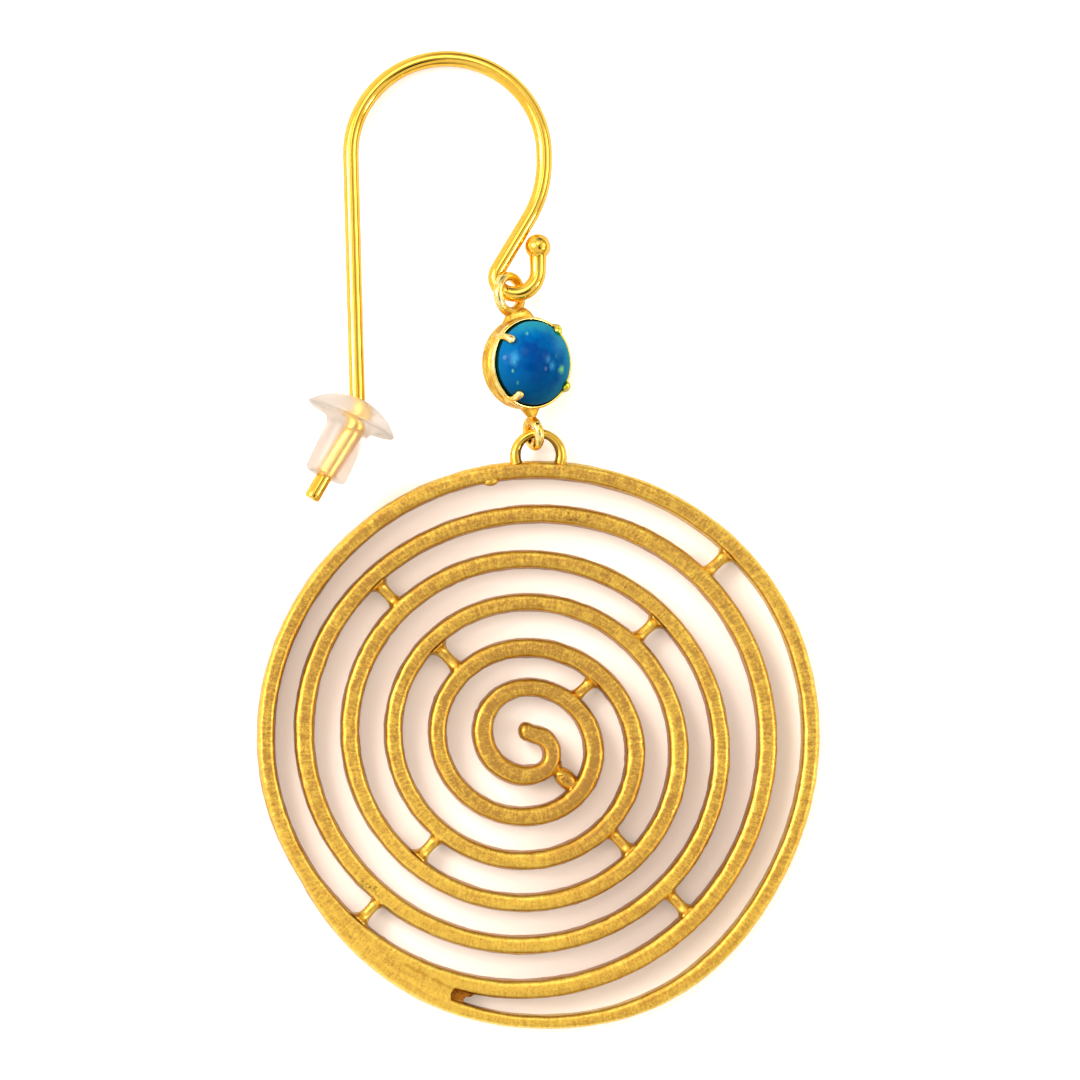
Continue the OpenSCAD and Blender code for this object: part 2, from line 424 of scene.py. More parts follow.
@dataclass(frozen=True)
class EffectGroup:
    """A shader node group with named inputs and outputs."""

    name: str
    inputs: dict[str, SocketKind]
    outputs: dict[str, SocketKind]
    draw: Callable[[Graph, Outputs, bpy.types.Node], None]

    def tree(self) -> bpy.types.NodeTree:
        """Builds the group once.

        Returns:
            The group's tree.
        """
        found = bpy.data.node_groups.get(self.name)
        if found:
            return found
        tree = bpy.data.node_groups.new(self.name, "ShaderNodeTree")
        for way, sockets in (("INPUT", self.inputs), ("OUTPUT", self.outputs)):
            for label, kind in sockets.items():
                tree.interface.new_socket(name=label, in_out=way, socket_type=kind.value)
        graph = Graph(tree)
        self.draw(graph, graph.add("NodeGroupInput").outputs, graph.add("NodeGroupOutput"))
        return tree

    def placed(self, graph: Graph, values: dict[str, Value]) -> Outputs:
        """Places the group in a material.

        Args:
            graph: The material's graph.
            values: A value or a socket for each input.

        Returns:
            The outputs of the placed group.
        """
        node = graph.add("ShaderNodeGroup", node_tree=self.tree())
        for label, value in values.items():
            graph.feed(node.inputs[label], value)
        return node.outputs


def draw_grain(g: Graph, given: Outputs, out: bpy.types.Node) -> None:
    """Fine grain with cloudy patches: a tone and a height.

    Args:
        g: The group's graph.
        given: The group's inputs.
        out: The node that takes its outputs.
    """
    place = given["Place"]
    fine = g.noise(place, given["Grain"], 4.0, 0.7)
    cloud = g.noise(place, given["Cloud"], 3.0)
    g.feed(out.inputs["Tone"], g.ramp(g.times_plus(fine, 0.55, g.times(cloud, 0.55)), 0.38, 0.72))
    g.feed(out.inputs["Height"], fine)


def draw_pits(g: Graph, given: Outputs, out: bpy.types.Node) -> None:
    """Scattered casting pits as a mask.

    Args:
        g: The group's graph.
        given: The group's inputs.
        out: The node that takes its outputs.
    """
    cells = g.add("ShaderNodeTexVoronoi", {"Vector": given["Place"], "Scale": given["Density"]})
    patch = g.noise(given["Place"], given["Patches"], 2.0)
    near = g.ramp(cells.outputs["Distance"], 0.05, 0.2, 1.0, 0.0)
    g.feed(out.inputs["Pits"], g.times(near, g.ramp(patch, 0.56, 0.66)))


GRAIN = EffectGroup(
    "fine_grain",
    {"Place": SocketKind.VECTOR, "Grain": SocketKind.FLOAT, "Cloud": SocketKind.FLOAT},
    {"Tone": SocketKind.FLOAT, "Height": SocketKind.FLOAT},
    draw_grain,
)
PITS = EffectGroup(
    "casting_pits",
    {"Place": SocketKind.VECTOR, "Density": SocketKind.FLOAT, "Patches": SocketKind.FLOAT},
    {"Pits": SocketKind.FLOAT},
    draw_pits,
)


class Finish:
    """A material under way: its graph, its shader, and its places in millimetres."""

    def __init__(self, name: str) -> None:
        """Starts the material.

        Args:
            name: The material's name.
        """
        self.material = bpy.data.materials.new(name)
        self.material.use_nodes = True
        tree = self.material.node_tree
        self.shader = next(n for n in tree.nodes if n.type == "BSDF_PRINCIPLED")
        self.graph = Graph(tree)
        where = self.graph.add("ShaderNodeTexCoord").outputs["Object"]
        self.place = self.graph.vector("SCALE", where, scale=1 / MM)
        self.facing = self.graph.add("ShaderNodeNewGeometry").outputs["Normal"]

    def set(self, **values: Value) -> None:
        """Feeds the shader's sockets.

        Args:
            **values: A colour, number or output for each socket, named with underscores for spaces.
        """
        for label, value in values.items():
            if isinstance(value, tuple) and len(value) == 3:
                value = (*value, 1.0)
            self.graph.feed(self.shader.inputs[label.replace("_", " ")], value)

    def bump(self, height: Value, depth_mm: float) -> None:
        """Feeds the shader's normal from a height, where 1 stands for the depth."""
        sizes = {"Height": height, "Distance": depth_mm * MM, "Strength": 1.0}
        self.set(Normal=self.graph.out("ShaderNodeBump", sizes))

    def axis(self, vector: Socket, name: str) -> Socket:
        """Gives one axis of a vector."""
        return self.graph.add("ShaderNodeSeparateXYZ", {0: vector}).outputs[name]


@dataclass(frozen=True)
class PolishedGold:
    """Polished yellow gold of the drawn wires."""

    name: str = "polished_gold"
    colour: Colour = (0.94, 0.60, 0.09)
    warm: Colour = (0.88, 0.50, 0.055)
    rough_low: float = 0.05
    rough_high: float = 0.12
    grain: float = 3.5
    cloud: float = 0.7
    scratch_mm: float = 0.0015
    # Colour of a painted dark reflection on the inner side of the bail.
    painted_dark_reflection: Colour = (0.14, 0.06, 0.012)
    dark_reflection_at: Point = (0.0, 0.0, 0.0)
    dark_reflection_r: float = 0.0

    def made(self) -> Material:
        """Builds the material.

        Returns:
            The material.
        """
        f = Finish(self.name)
        g = f.graph
        grain = GRAIN.placed(g, {"Place": f.place, "Grain": self.grain, "Cloud": self.cloud})
        # Painted dark reflection: within a radius of the given middle the wire turns dark brown, for the dark lines it
        # mirrors on the bail's inner side.
        away = g.vector("DISTANCE", g.vector("MULTIPLY", f.place, (1, 1, 0)), self.dark_reflection_at)
        painted_dark_reflection = g.ramp(away, self.dark_reflection_r - 0.1, self.dark_reflection_r, 0.85, 0.0)
        f.set(
            Base_Color=g.mix(painted_dark_reflection, g.mix(grain["Tone"], self.warm, self.colour), self.painted_dark_reflection),
            Metallic=1.0,
            Roughness=g.ramp(grain["Tone"], 0.0, 1.0, self.rough_high, self.rough_low),
        )
        f.bump(grain["Height"], self.scratch_mm)
        return f.material


@dataclass(frozen=True)
class CastGold:
    """Cast gold of the cup, with streaks along its wall and small pits."""

    foot: Point
    axis: Point
    ring_r: float = 3.1
    rim_z: float = 0.94
    name: str = "cast_gold"
    # Pale gold of the smooth rim, rings and claw tips: real polish, made paler than the metal as a painted highlight.
    polished: Colour = (1.0, 0.84, 0.38)
    rubbed: Colour = (0.93, 0.58, 0.06)
    colour: Colour = (1.0, 0.78, 0.15)
    streak: Colour = (0.68, 0.34, 0.03)
    pit: Colour = (0.10, 0.04, 0.01)
    # Yellow-green painted reflection of the stone, on the gold to its right.
    painted_stone_reflection: Colour = (0.72, 0.64, 0.02)
    stone_reflection_x: Pair = (0.5, 1.0)
    grain: float = 4.0
    cloud: float = 1.6
    pit_density: float = 2.2
    pit_patches: float = 0.9
    streak_scale: float = 1.3
    groove_below: float = 0.08
    grain_mm: float = 0.03

    def made(self) -> Material:
        """Builds the material.

        Returns:
            The material.
        """
        f = Finish(self.name)
        g = f.graph
        grain = GRAIN.placed(g, {"Place": f.place, "Grain": self.grain, "Cloud": self.cloud})
        offset = g.vector("SUBTRACT", f.place, self.foot)
        height = g.vector("DOT_PRODUCT", offset, self.axis)
        away = g.vector("LENGTH", g.vector("SUBTRACT", offset, g.vector("SCALE", self.axis, scale=height)))
        # The smooth rim, rings and claws take the paler gold: their polish, with its paleness a painted highlight.
        above_rim = g.ramp(height, self.rim_z - 0.03, self.rim_z + 0.03)
        smooth = g.math("MAXIMUM", above_rim, g.ramp(away, self.ring_r, self.ring_r + 0.3))
        pits = PITS.placed(g, {"Place": f.place, "Density": self.pit_density, "Patches": self.pit_patches})["Pits"]
        drawn = g.vector("ADD", offset, g.vector("SCALE", self.axis, scale=g.times(height, 4.0)))
        streaks = g.ramp(g.noise(drawn, self.streak_scale, 4.0, 0.7), 0.42, 0.56)
        # Painted shade: round the groove below the rim the wall is pulled towards the darker streak colour.
        from_groove = g.math("ABSOLUTE", g.minus(height, self.rim_z - self.groove_below))
        groove = g.times(g.ramp(from_groove, 0.04, 0.12, 1.0, 0.0), 0.8)
        streaks_and_groove_shade = g.times(g.times(grain["Tone"], streaks), g.minus(1.0, groove))
        raw = g.mix(pits, g.mix(streaks_and_groove_shade, self.streak, self.colour), self.pit)
        # Painted reflection: towards the stone's right the smooth gold turns yellow-green.
        stone_reflection_share = g.ramp(f.axis(f.place, "X"), *self.stone_reflection_x, 0.0, 0.85)
        polished_sheen_and_stone_reflection = g.mix(stone_reflection_share, g.mix(grain["Tone"], self.rubbed, self.polished), self.painted_stone_reflection)
        f.set(
            Base_Color=g.mix(smooth, raw, polished_sheen_and_stone_reflection),
            Metallic=1.0,
            Roughness=g.ramp(g.times_plus(grain["Tone"], 0.3, smooth), 0.0, 1.3, 0.36, 0.1),
        )
        f.bump(g.times(g.minus(grain["Height"], pits), g.minus(1.15, smooth)), self.grain_mm)
        return f.material


@dataclass(frozen=True)
class SatinGold:
    """Satin face of the cast spiral, brighter on its rounded shoulders, partly rubbed and partly as painted highlight,
    and browner on its walls as painted shade.
    """

    centre: Pair
    seam: Ends
    pit_end: Ends
    name: str = "satin_gold"
    face: Colour = (0.98, 0.62, 0.09)
    dull: Colour = (0.42, 0.21, 0.044)
    # Dull tone for the lower part, lighter than dull as painted light.
    dull_painted_lighter_low: Colour = (0.56, 0.28, 0.045)
    # Shoulder colours, lighter than the face's: partly rubbed gold, partly painted highlight.
    shoulder: Colour = (0.82, 0.47, 0.05)
    rubbed: Colour = (1.0, 0.76, 0.17)
    # Brown of the steep walls between the turns: painted shade.
    wall: Colour = (0.52, 0.205, 0.015)
    dark: Colour = (0.10, 0.035, 0.008)
    raw: Colour = (0.42, 0.14, 0.012)
    worn: tuple[Ends, ...] = (
        ((1.45, 1.2), (2.5, 1.2)),
        ((-9.35, -18.2), (-8.8, -18.5)),
        ((-4.2, -3.3), (-3.9, -3.1)),
        ((1.1, -12.5), (1.35, -12.8)),
    )
    strokes_at_3mm: float = 22.0
    fine_scale: float = 8.0
    blotch_scale: float = 1.5
    speckle_scale: float = 6.0
    pit_density: float = 2.6
    pit_patches: float = 0.35
    tone_span: Pair = (0.62, 0.88)
    flat_up: Pair = (0.75, 0.995)
    steep_up: Pair = (0.55, 0.08)
    rim_r: Pair = (14.1, 14.5)
    sunken_z: Pair = (1.16, 1.02)
    grain_mm: float = 0.02

    def made(self) -> Material:
        """Builds the material.

        Returns:
            The material.
        """
        f = Finish(self.name)
        g = f.graph
        from_middle = g.vector("SUBTRACT", f.place, (*self.centre, 0.0))
        x, y = f.axis(from_middle, "X"), f.axis(from_middle, "Y")
        radius = g.vector("LENGTH", g.vector("MULTIPLY", from_middle, (1, 1, 0)))
        angle = g.math("ARCTAN2", y, x)
        octave = g.math("ROUND", g.math("LOGARITHM", g.math("DIVIDE", radius, 3.0), 2.0))
        along = g.times(angle, g.times(g.math("POWER", 2.0, octave), self.strokes_at_3mm))
        stroke = g.join(along, g.times(radius, 1.3))
        strokes = g.noise(stroke, 1.0, 3.0, 0.6)
        fine = g.noise(f.place, self.fine_scale, 4.0, 0.75)
        blotch = g.noise(f.place, self.blotch_scale, 4.0, 0.7)
        streaks = g.noise(g.vector("MULTIPLY", stroke, (0.05, 2.4, 1.0)), 1.0, 3.0, 0.6)
        cloudy = g.times_plus(blotch, 0.28, g.times(streaks, 0.24))
        light = g.times_plus(strokes, 0.32, g.times_plus(fine, 0.48, cloudy))
        # Painted light: the face tone is lighter towards the bottom; it is also lighter outward from the middle.
        # Painted shade: it is darker towards the left and towards the lower right.
        lit_low_lighter_outward = g.times_plus(g.ramp(y, 9.0, -14.0), 0.07, g.times(g.ramp(radius, 2.0, 9.0), 0.06))
        shade_lower_right = g.ramp(g.math("DIVIDE", g.minus(x, y), radius), 1.05, 1.36, 0.0, 0.055)
        shaded = g.plus(g.ramp(x, -5.0, -13.0, 0.0, 0.03), shade_lower_right)
        tone = g.ramp(g.plus(g.minus(lit_low_lighter_outward, shaded), light), *self.tone_span)
        up = f.axis(f.facing, "Z")
        flat = g.ramp(up, *self.flat_up)
        # Painted shade: steep walls turn brown, less so on the outermost rim.
        outside = g.times(g.ramp(radius, *self.rim_r), 0.85)
        steep_wall_shade = g.math("MAXIMUM", g.minus(g.ramp(up, *self.steep_up), outside), 0.0)
        # Painted light: the dull tone lightens towards the bottom.
        dull = g.mix(g.ramp(y, 0.0, -13.0), self.dull, self.dull_painted_lighter_low)
        # Shoulders take lighter colours than the face: partly rubbing, partly painted highlight.
        lit = g.mix(tone, g.mix(flat, self.shoulder, dull), g.mix(flat, self.rubbed, self.face))
        sunken = g.ramp(f.axis(f.place, "Z"), *self.sunken_z)
        raw = g.times(self.near(f, self.pit_end, 0.35, 0.6), sunken)
        seam = g.times(self.near(f, self.seam, 0.02, 0.12), 0.5)
        speckle = g.ramp(g.noise(f.place, self.speckle_scale, 3.0, 0.7), 0.5, 0.62)
        scales = {"Density": self.pit_density, "Patches": self.pit_patches}
        pits: Value = g.times(PITS.placed(g, {"Place": f.place, **scales})["Pits"], 0.6)
        for ends in self.worn:
            pits = g.math("MAXIMUM", pits, g.times(self.near(f, ends, 0.1, 0.4), g.times(speckle, 0.7)))
        body = g.mix(seam, g.mix(pits, g.mix(steep_wall_shade, lit, self.wall), self.dark), self.wall)
        f.set(
            Base_Color=g.mix(raw, body, g.mix(speckle, self.raw, self.dark)),
            Metallic=1.0,
            Roughness=g.times_plus(flat, g.ramp(tone, 0.0, 1.0, 0.2, 0.08), 0.28),
        )
        relief = g.plus(g.times(strokes, 0.6), g.times(fine, 0.7))
        f.bump(g.minus(relief, g.times_plus(pits, 1.5, seam)), self.grain_mm)
        return f.material

    def near(self, f: Finish, ends: Ends, inner: float, outer: float) -> Socket:
        """A mask round a straight mark, seen from above.

        Args:
            f: The material under way.
            ends: The mark's two ends.
            inner: How far the mark is full.
            outer: Where it has faded.

        Returns:
            The mask.
        """
        g = f.graph
        start, end = (Vector((*p, 0.0)) for p in ends)
        run = end - start
        offset = g.vector("SUBTRACT", g.vector("MULTIPLY", f.place, (1, 1, 0)), tuple(start))
        share = g.math("DIVIDE", g.vector("DOT_PRODUCT", offset, tuple(run)), run.length_squared)
        held = g.math("MINIMUM", g.math("MAXIMUM", share, 0.0), 1.0)
        foot = g.vector("SCALE", tuple(run), scale=held)
        away = g.vector("DISTANCE", offset, foot)
        rough = g.times_plus(g.noise(f.place, 2.5, 2.0), 0.3, away)
        return g.ramp(rough, inner + 0.15, outer + 0.15, 1.0, 0.0)


@dataclass(frozen=True)
class BlueStone:
    """Glossy blue stone, deeper in its middle and greener at its edge, with pale flecks, painted highlights and painted
    shadow at its girdle.
    """

    centre: Point
    axis: Point
    girdle: float
    name: str = "blue_stone"
    deep: Colour = (0.0, 0.035, 0.165)
    mid: Colour = (0.0, 0.085, 0.25)
    edge: Colour = (0.012, 0.20, 0.25)
    low: Colour = (0.0, 0.042, 0.125)
    # Near-black green at the girdle: painted shadow.
    rim: Colour = (0.0, 0.012, 0.008)
    # Colour of the painted highlights: soft pale-blue spots where the stone mirrors the lamps.
    glow: Colour = (0.06, 0.36, 0.56)
    fleck: Colour = (0.16, 0.50, 0.12)
    cloud: float = 1.1
    ragged: float = 4.0
    stretch: Pair = (1.4, 0.9)
    coat: float = 0.08
    wavy_mm: float = 0.02
    painted_highlights: tuple[Spot, ...] = (
        (-1.5, 9.55, 0.3, 0.42),
        (0.5, 9.2, 0.2, 0.45),
        (0.3, 9.5, 0.16, 0.3),
        (0.9, 10.3, 0.5, 0.16),
    )
    flecks: tuple[Spot, ...] = (
        (1.01, 9.01, 0.2, 1.0),
        (-0.81, 10.89, 0.1, 0.45),
        (-1.52, 9.36, 0.09, 0.35),
        (-1.6, 8.91, 0.09, 0.6),
        (-1.33, 8.29, 0.1, 0.35),
        (0.72, 9.69, 0.11, 0.3),
    )

    def made(self) -> Material:
        """Builds the material.

        Returns:
            The material.
        """
        f = Finish(self.name)
        g = f.graph
        offset = g.vector("SUBTRACT", f.place, self.centre)
        away = g.vector("LENGTH", g.vector("MULTIPLY", offset, (1, 1, 0.6)))
        cloud = g.noise(f.place, self.cloud, 4.0, 0.65)
        body = g.mix(g.ramp(g.times_plus(cloud, 2.6, away), 1.8, 3.0), self.deep, self.mid)
        lit_side = g.ramp(g.times_plus(f.axis(offset, "Y"), 0.4, f.axis(offset, "X")), -1.5, 0.3, 0.15, 1.0)
        body = g.mix(g.times(g.ramp(g.times_plus(cloud, 0.9, away), 1.8, 2.7), lit_side), body, self.edge)
        body = g.mix(g.ramp(f.axis(offset, "Y"), 0.6, -2.3, 0.0, 0.75), body, self.low)
        # Painted highlights.
        body = g.mix(self.spots(f, self.painted_highlights, 1.2), body, self.glow)
        above = g.minus(g.vector("DOT_PRODUCT", f.place, self.axis), self.girdle)
        shadow = g.ramp(g.times_plus(cloud, 0.16, above), 0.1, 0.2, 1.0, 0.0)
        body = g.mix(shadow, body, self.rim)
        f.set(
            Base_Color=g.mix(self.spots(f, self.flecks, 1.6), body, self.fleck),
            Roughness=0.3,
            Specular_IOR_Level=0.0,
            Coat_Weight=self.coat,
            Coat_Roughness=0.03,
        )
        f.bump(g.noise(f.place, 1.2, 2.0), self.wavy_mm)
        return f.material

    def spots(self, f: Finish, marks: Sequence[Spot], ragged: float) -> Value:
        """A mask of round spots, seen from above.

        Args:
            f: The material under way.
            marks: Each spot's place, size and strength.
            ragged: How ragged the spots are.

        Returns:
            The mask.
        """
        g = f.graph
        wide, tall = self.stretch
        flat = g.vector("MULTIPLY", f.place, (wide, tall, 0.0))
        spots: Value = 0.0
        for x, y, size, strength in marks:
            away = g.vector("DISTANCE", flat, (wide * x, tall * y, 0.0))
            rough = g.times_plus(g.noise(f.place, self.ragged, 3.0), size * ragged, away)
            spots = g.math("MAXIMUM", spots, g.ramp(rough, size * 0.5, size * 2.3, strength, 0.0))
        return spots


@dataclass(frozen=True)
class ClearSilicone:
    """Clear soft silicone with a milky bloom, and its cap painted lighter as painted light."""

    name: str = "clear_silicone"
    colour: Colour = (0.82, 0.72, 0.66)
    milky: Colour = (0.76, 0.66, 0.58)
    # Lighter colour of the cap: painted light.
    cap: Colour = (0.94, 0.88, 0.83)
    axis: Point = (0.415, 0.91, 0.0)
    cap_along: Pair = (1.2, 1.9)
    bloom: float = 0.8
    bloom_span: Pair = (0.3, 0.7)
    rough: Pair = (0.3, 0.4)
    dimple_mm: float = 0.01
    clear: float = 0.88
    ior: float = 1.41

    def made(self) -> Material:
        """Builds the material.

        Returns:
            The material.
        """
        f = Finish(self.name)
        g = f.graph
        bloom = g.noise(f.place, self.bloom, 3.0)
        cap_painted_lighter = g.ramp(g.vector("DOT_PRODUCT", f.place, self.axis), *self.cap_along)
        f.set(
            Base_Color=g.mix(cap_painted_lighter, g.mix(g.ramp(bloom, *self.bloom_span), self.colour, self.milky), self.cap),
            Transmission_Weight=self.clear,
            Roughness=g.ramp(bloom, *self.bloom_span, *self.rough),
            IOR=self.ior,
        )
        f.bump(g.noise(f.place, 2.0, 3.0), self.dimple_mm)
        return f.material


# The wires.


class WireTree(GrowTree):
    """Sweeps a round wire along a guide line whose points carry a swell."""

    def __init__(self) -> None:
        """Builds the tree."""
        sizes = {"Wire Radius": SocketKind.FLOAT, "Sides": SocketKind.INT, "Handwork": SocketKind.FLOAT}
        super().__init__("bent_wire", sizes)
        g, given = self.graph, self.given
        wire = swept_round(g, given["Guide"], given["Sides"], given["Wire Radius"])
        self.close(hand_worked(g, wire, given["Handwork"], 1.1))


def swept_round(g: Graph, guide: Socket, sides: Value, radius: Socket) -> Socket:
    """Sweeps a round wire along a guide whose points carry a swell.

    Args:
        g: The tree's graph.
        guide: The guide's mesh.
        sides: How many sides the wire has.
        radius: Its radius where the swell is 1.

    Returns:
        The swept wire.
    """
    circle = g.out("GeometryNodeCurvePrimitiveCircle", {"Resolution": sides, "Radius": 1.0})
    line = g.out("GeometryNodeMeshToCurve", {0: guide})
    return swept_section(g, line, circle, g.times(g.mark("swell"), radius))


def swept_section(g: Graph, line: Socket, section: Socket, scale: Value) -> Socket:
    """Sweeps a section along a line, with closed ends and its size scaled along the way."""
    sizes = {"Curve": line, "Profile Curve": section, "Scale": scale, "Fill Caps": True}
    return g.out("GeometryNodeCurveToMesh", sizes)


def hand_worked(g: Graph, mesh: Socket, depth: Value, scale: float) -> Socket:
    """Moves a surface in and out a little, as hand work leaves it.

    Args:
        g: The tree's graph.
        mesh: The surface.
        depth: How far it moves, in millimetres.
        scale: How close the waves are.

    Returns:
        The surface with its waves.
    """
    wave = g.minus(g.noise(g.out("GeometryNodeInputPosition"), scale, 2.0), 0.5)
    push = g.vector("SCALE", g.out("GeometryNodeInputNormal"), scale=g.times(wave, depth))
    return g.out("GeometryNodeSetPosition", {"Geometry": mesh, "Offset": push})


def heading_vector(degrees: float) -> Vector:
    """Gives the flat unit vector at an angle."""
    return Vector((math.cos(math.radians(degrees)), math.sin(math.radians(degrees)), 0.0))


@dataclass(frozen=True)
class Bend:
    """A straight run and the bend after it."""

    run: float
    radius: float
    turn: float


@dataclass
class EarWire:
    """One bent wire: blunt end, straight leg, arch, small loop and ball end."""

    wires: WireTree
    metal: Material
    wire_d: float = 0.84
    leg_len: float = 13.66
    arch_r: float = 5.15
    front_lean: float = 31.0
    ball_d: float = 1.36
    slope: float = 6.1
    middle: Pair = (-4.87, 20.42)
    arch_above: float = 0.12
    end_len: float = 4.5
    bend_r: float = 1.6
    end_heading: float = 60.0
    leg_heading: float = 91.4
    start: Pair = (-7.34, -18.38)
    dip_len: float = 0.42
    dip_r: float = 6.0
    front_len: float = 3.17
    neck_r: float = 0.85
    neck_turn: float = 100.0
    loop_r: float = 1.25
    loop_turn: float = 80.0
    loop_end: float = 1.3
    bore_reach: float = 9.0
    back_x: float = -4.0
    step_deg: float = 4.0
    step_mm: float = 0.35
    sides: int = 24
    handwork: float = 0.02
    neck_len: float = 0.9
    neck_swell: float = 0.1
    ball_rings: int = 16

    def plane(self) -> Matrix:
        """The place of the wire's plane, which rests on its arch.

        Returns:
            The matrix from the wire's plane to the earring.
        """
        slope = math.radians(self.slope)
        lift = self.wire_d / 2 * math.cos(slope) + (self.arch_r + self.arch_above) * math.sin(slope)
        return Matrix.Translation((*self.middle, lift)) @ turned(-self.slope, "X")

    def route(self) -> Path:
        """Works out the wire's middle line.

        Returns:
            Stations (x, y, heading).
        """
        bends = (
            Bend(self.end_len, self.bend_r, self.leg_heading - self.end_heading),
            Bend(self.leg_len, self.arch_r, -90.0 - self.leg_heading),
            Bend(self.dip_len, self.dip_r, -self.front_lean),
            Bend(self.front_len, self.neck_r, self.neck_turn),
            Bend(0.0, self.loop_r, self.front_lean + self.loop_turn),
            Bend(self.loop_end, 0.0, 0.0),
        )
        at, head = Vector((*self.start, 0.0)), self.end_heading
        path: Path = []
        for bend in bends:
            pieces = max(1, math.ceil(bend.run / self.step_mm))
            for k in range(1, pieces + 1):
                spot = at + heading_vector(head) * bend.run * k / pieces
                path.append((spot.x, spot.y, head))
            at = at + heading_vector(head) * bend.run
            side = math.copysign(1.0, bend.turn)
            hub = at + heading_vector(head + 90) * side * bend.radius
            steps = math.ceil(abs(bend.turn) / self.step_deg)
            for k in range(1, steps + 1):
                angle = head + bend.turn * k / steps
                spot = hub - heading_vector(angle + 90) * side * bend.radius
                path.append((spot.x, spot.y, angle))
            if steps:
                at = Vector((path[-1][0], path[-1][1], 0.0))
            head += bend.turn
        return path

    def stations(self) -> tuple[list[Point], list[float]]:
        """Works out the wire with its rounded end, its thickened neck and its ball.

        Returns:
            The points and the swell at each, where 1 is the wire itself.
        """
        wire_r, ball_r = self.wire_d / 2, self.ball_d / 2
        path = self.route()
        end = Vector((path[-1][0], path[-1][1], 0.0))
        head = path[-1][2]
        first = math.degrees(math.asin(wire_r * (1.0 + self.neck_swell) / ball_r))
        points: list[Point] = []
        swell: list[float] = []
        for back, size in ((0.0, 0.74), (0.02, 0.86), (0.06, 0.96), (0.12, 1.0)):
            spot = Vector((*self.start, 0.0)) + heading_vector(self.end_heading) * back
            points.append(tuple(spot))
            swell.append(size)
        for x, y, _ in path:
            spot = Vector((x, y, 0.0))
            left = (spot - end).length - ball_r * math.cos(math.radians(first))
            by_ball = len(points) > len(path) - 20
            if by_ball and left <= 0.05:
                continue
            near = max(0.0, 1.0 - left / self.neck_len) if by_ball else 0.0
            points.append(tuple(spot))
            swell.append(1.0 + self.neck_swell * near * near)
        for k in range(self.ball_rings + 1):
            a = math.radians(first + (176.0 - first) * k / self.ball_rings)
            points.append(tuple(end - heading_vector(head) * ball_r * math.cos(a)))
            swell.append(ball_r * math.sin(a) / wire_r)
        return points, swell

    def build(self) -> None:
        """Sweeps the wire and finishes it."""
        points, swell = self.stations()
        obj = self.wires.grow("ear_wire", guide_line(points, {"swell": swell}), self.sizes(0.0))
        finish_piece(obj, self.plane(), [self.metal], "ear_hook")

    def sizes(self, clearance: float) -> dict[str, object]:
        """Gives the wire's sizes to its tree, with a gap added round it."""
        radius = self.wire_d / 2 + clearance
        return {"Wire Radius": radius, "Sides": self.sides, "Handwork": self.handwork, "Metal": self.metal}

    def bore(self, clearance: float) -> Object:
        """Makes the solid of the wire's lower end with a clearance, to cut it from the stopper.

        Args:
            clearance: The gap round the wire.

        Returns:
            The swept solid, in the wire's plane.
        """
        before = Vector((*self.start, 0.0)) - heading_vector(self.end_heading) * 0.5
        top = self.start[1] + self.bore_reach
        points = [tuple(before)] + [(x, y, 0.0) for x, y, _ in self.route() if y < top and x < self.back_x]
        guide = guide_line(points, {"swell": [1.0] * len(points)})
        return self.wires.grow("bore", guide, self.sizes(clearance))


@dataclass
class SoftStopper:
    """Clear mushroom stopper on the bent end of the wire."""

    hook: EarWire
    rubber: Material
    cap_d: float = 4.95
    cap_rise: float = 1.15
    body_d: float = 2.3
    body_len: float = 3.4
    lean: float = 24.5
    at: Pair = (-5.21, -14.10)
    edge_t: float = 0.1
    foot_r: float = 0.25
    neck_out: float = 0.85
    neck_up: float = 0.75
    clearance: float = -0.004

    def outline(self) -> list[Pair]:
        """Works out the half outline.

        Returns:
            Points (radius, height above the cap's edge).
        """
        cap_r, body_r = self.cap_d / 2, self.body_d / 2
        dome_r = (cap_r**2 + self.cap_rise**2) / (2 * self.cap_rise)
        dome_a = math.asin(cap_r / dome_r)
        quarter = [math.radians(a) for a in range(0, 91, 15)]
        foot_r = self.foot_r
        foot = [(body_r - foot_r * (1 - math.sin(a)), foot_r * (1 - math.cos(a)) - self.body_len) for a in quarter]
        neck = [(body_r + self.neck_out * (1 - math.cos(a)), self.neck_up * math.sin(a) - 0.8) for a in quarter]
        under = [(cap_r - 0.28, -0.09), (cap_r - 0.1, -self.edge_t), (cap_r - 0.03, -0.07)]
        dome = [dome_a * (1 - k / 18) for k in range(19)]
        top = [(dome_r * math.sin(a), self.cap_rise - dome_r * (1 - math.cos(a))) for a in dome[:-1]]
        return [(0.0, -self.body_len), *foot, *neck, *under, *top, (0.0, self.cap_rise)]

    def build(self) -> None:
        """Turns the stopper, cuts its bent bore and finishes it."""
        obj = lathe("soft_stopper", self.outline(), 72)
        obj.data.transform(Matrix.Translation((*self.at, 0.0)) @ turned(-self.lean, "Z") @ turned(-90, "X"))
        joined(obj, [self.hook.bore(self.clearance)], Union3D.CUT)
        finish_piece(obj, self.hook.plane(), [self.rubber], "ear_stopper")


# The stone and its setting.


class ClawTree(GrowTree):
    """Repeats one bent claw round the cup."""

    def __init__(self) -> None:
        """Builds the tree."""
        sizes = {"Count": SocketKind.INT, "First Turn": SocketKind.FLOAT, "Claw Radius": SocketKind.FLOAT}
        super().__init__("claw_ring", sizes)
        g, given = self.graph, self.given
        claw = swept_round(g, given["Guide"], 20, given["Claw Radius"])
        spots = g.out("GeometryNodeMeshLine", {"Count": given["Count"], "Offset": (0.0, 0.0, 0.0)})
        share = g.math("DIVIDE", g.times(g.out("GeometryNodeInputIndex"), math.tau), given["Count"])
        spin = g.out("FunctionNodeEulerToRotation", {0: g.join(z=g.plus(share, given["First Turn"]))})
        self.close(g.out("GeometryNodeInstanceOnPoints", {"Points": spots, "Instance": claw, "Rotation": spin}))


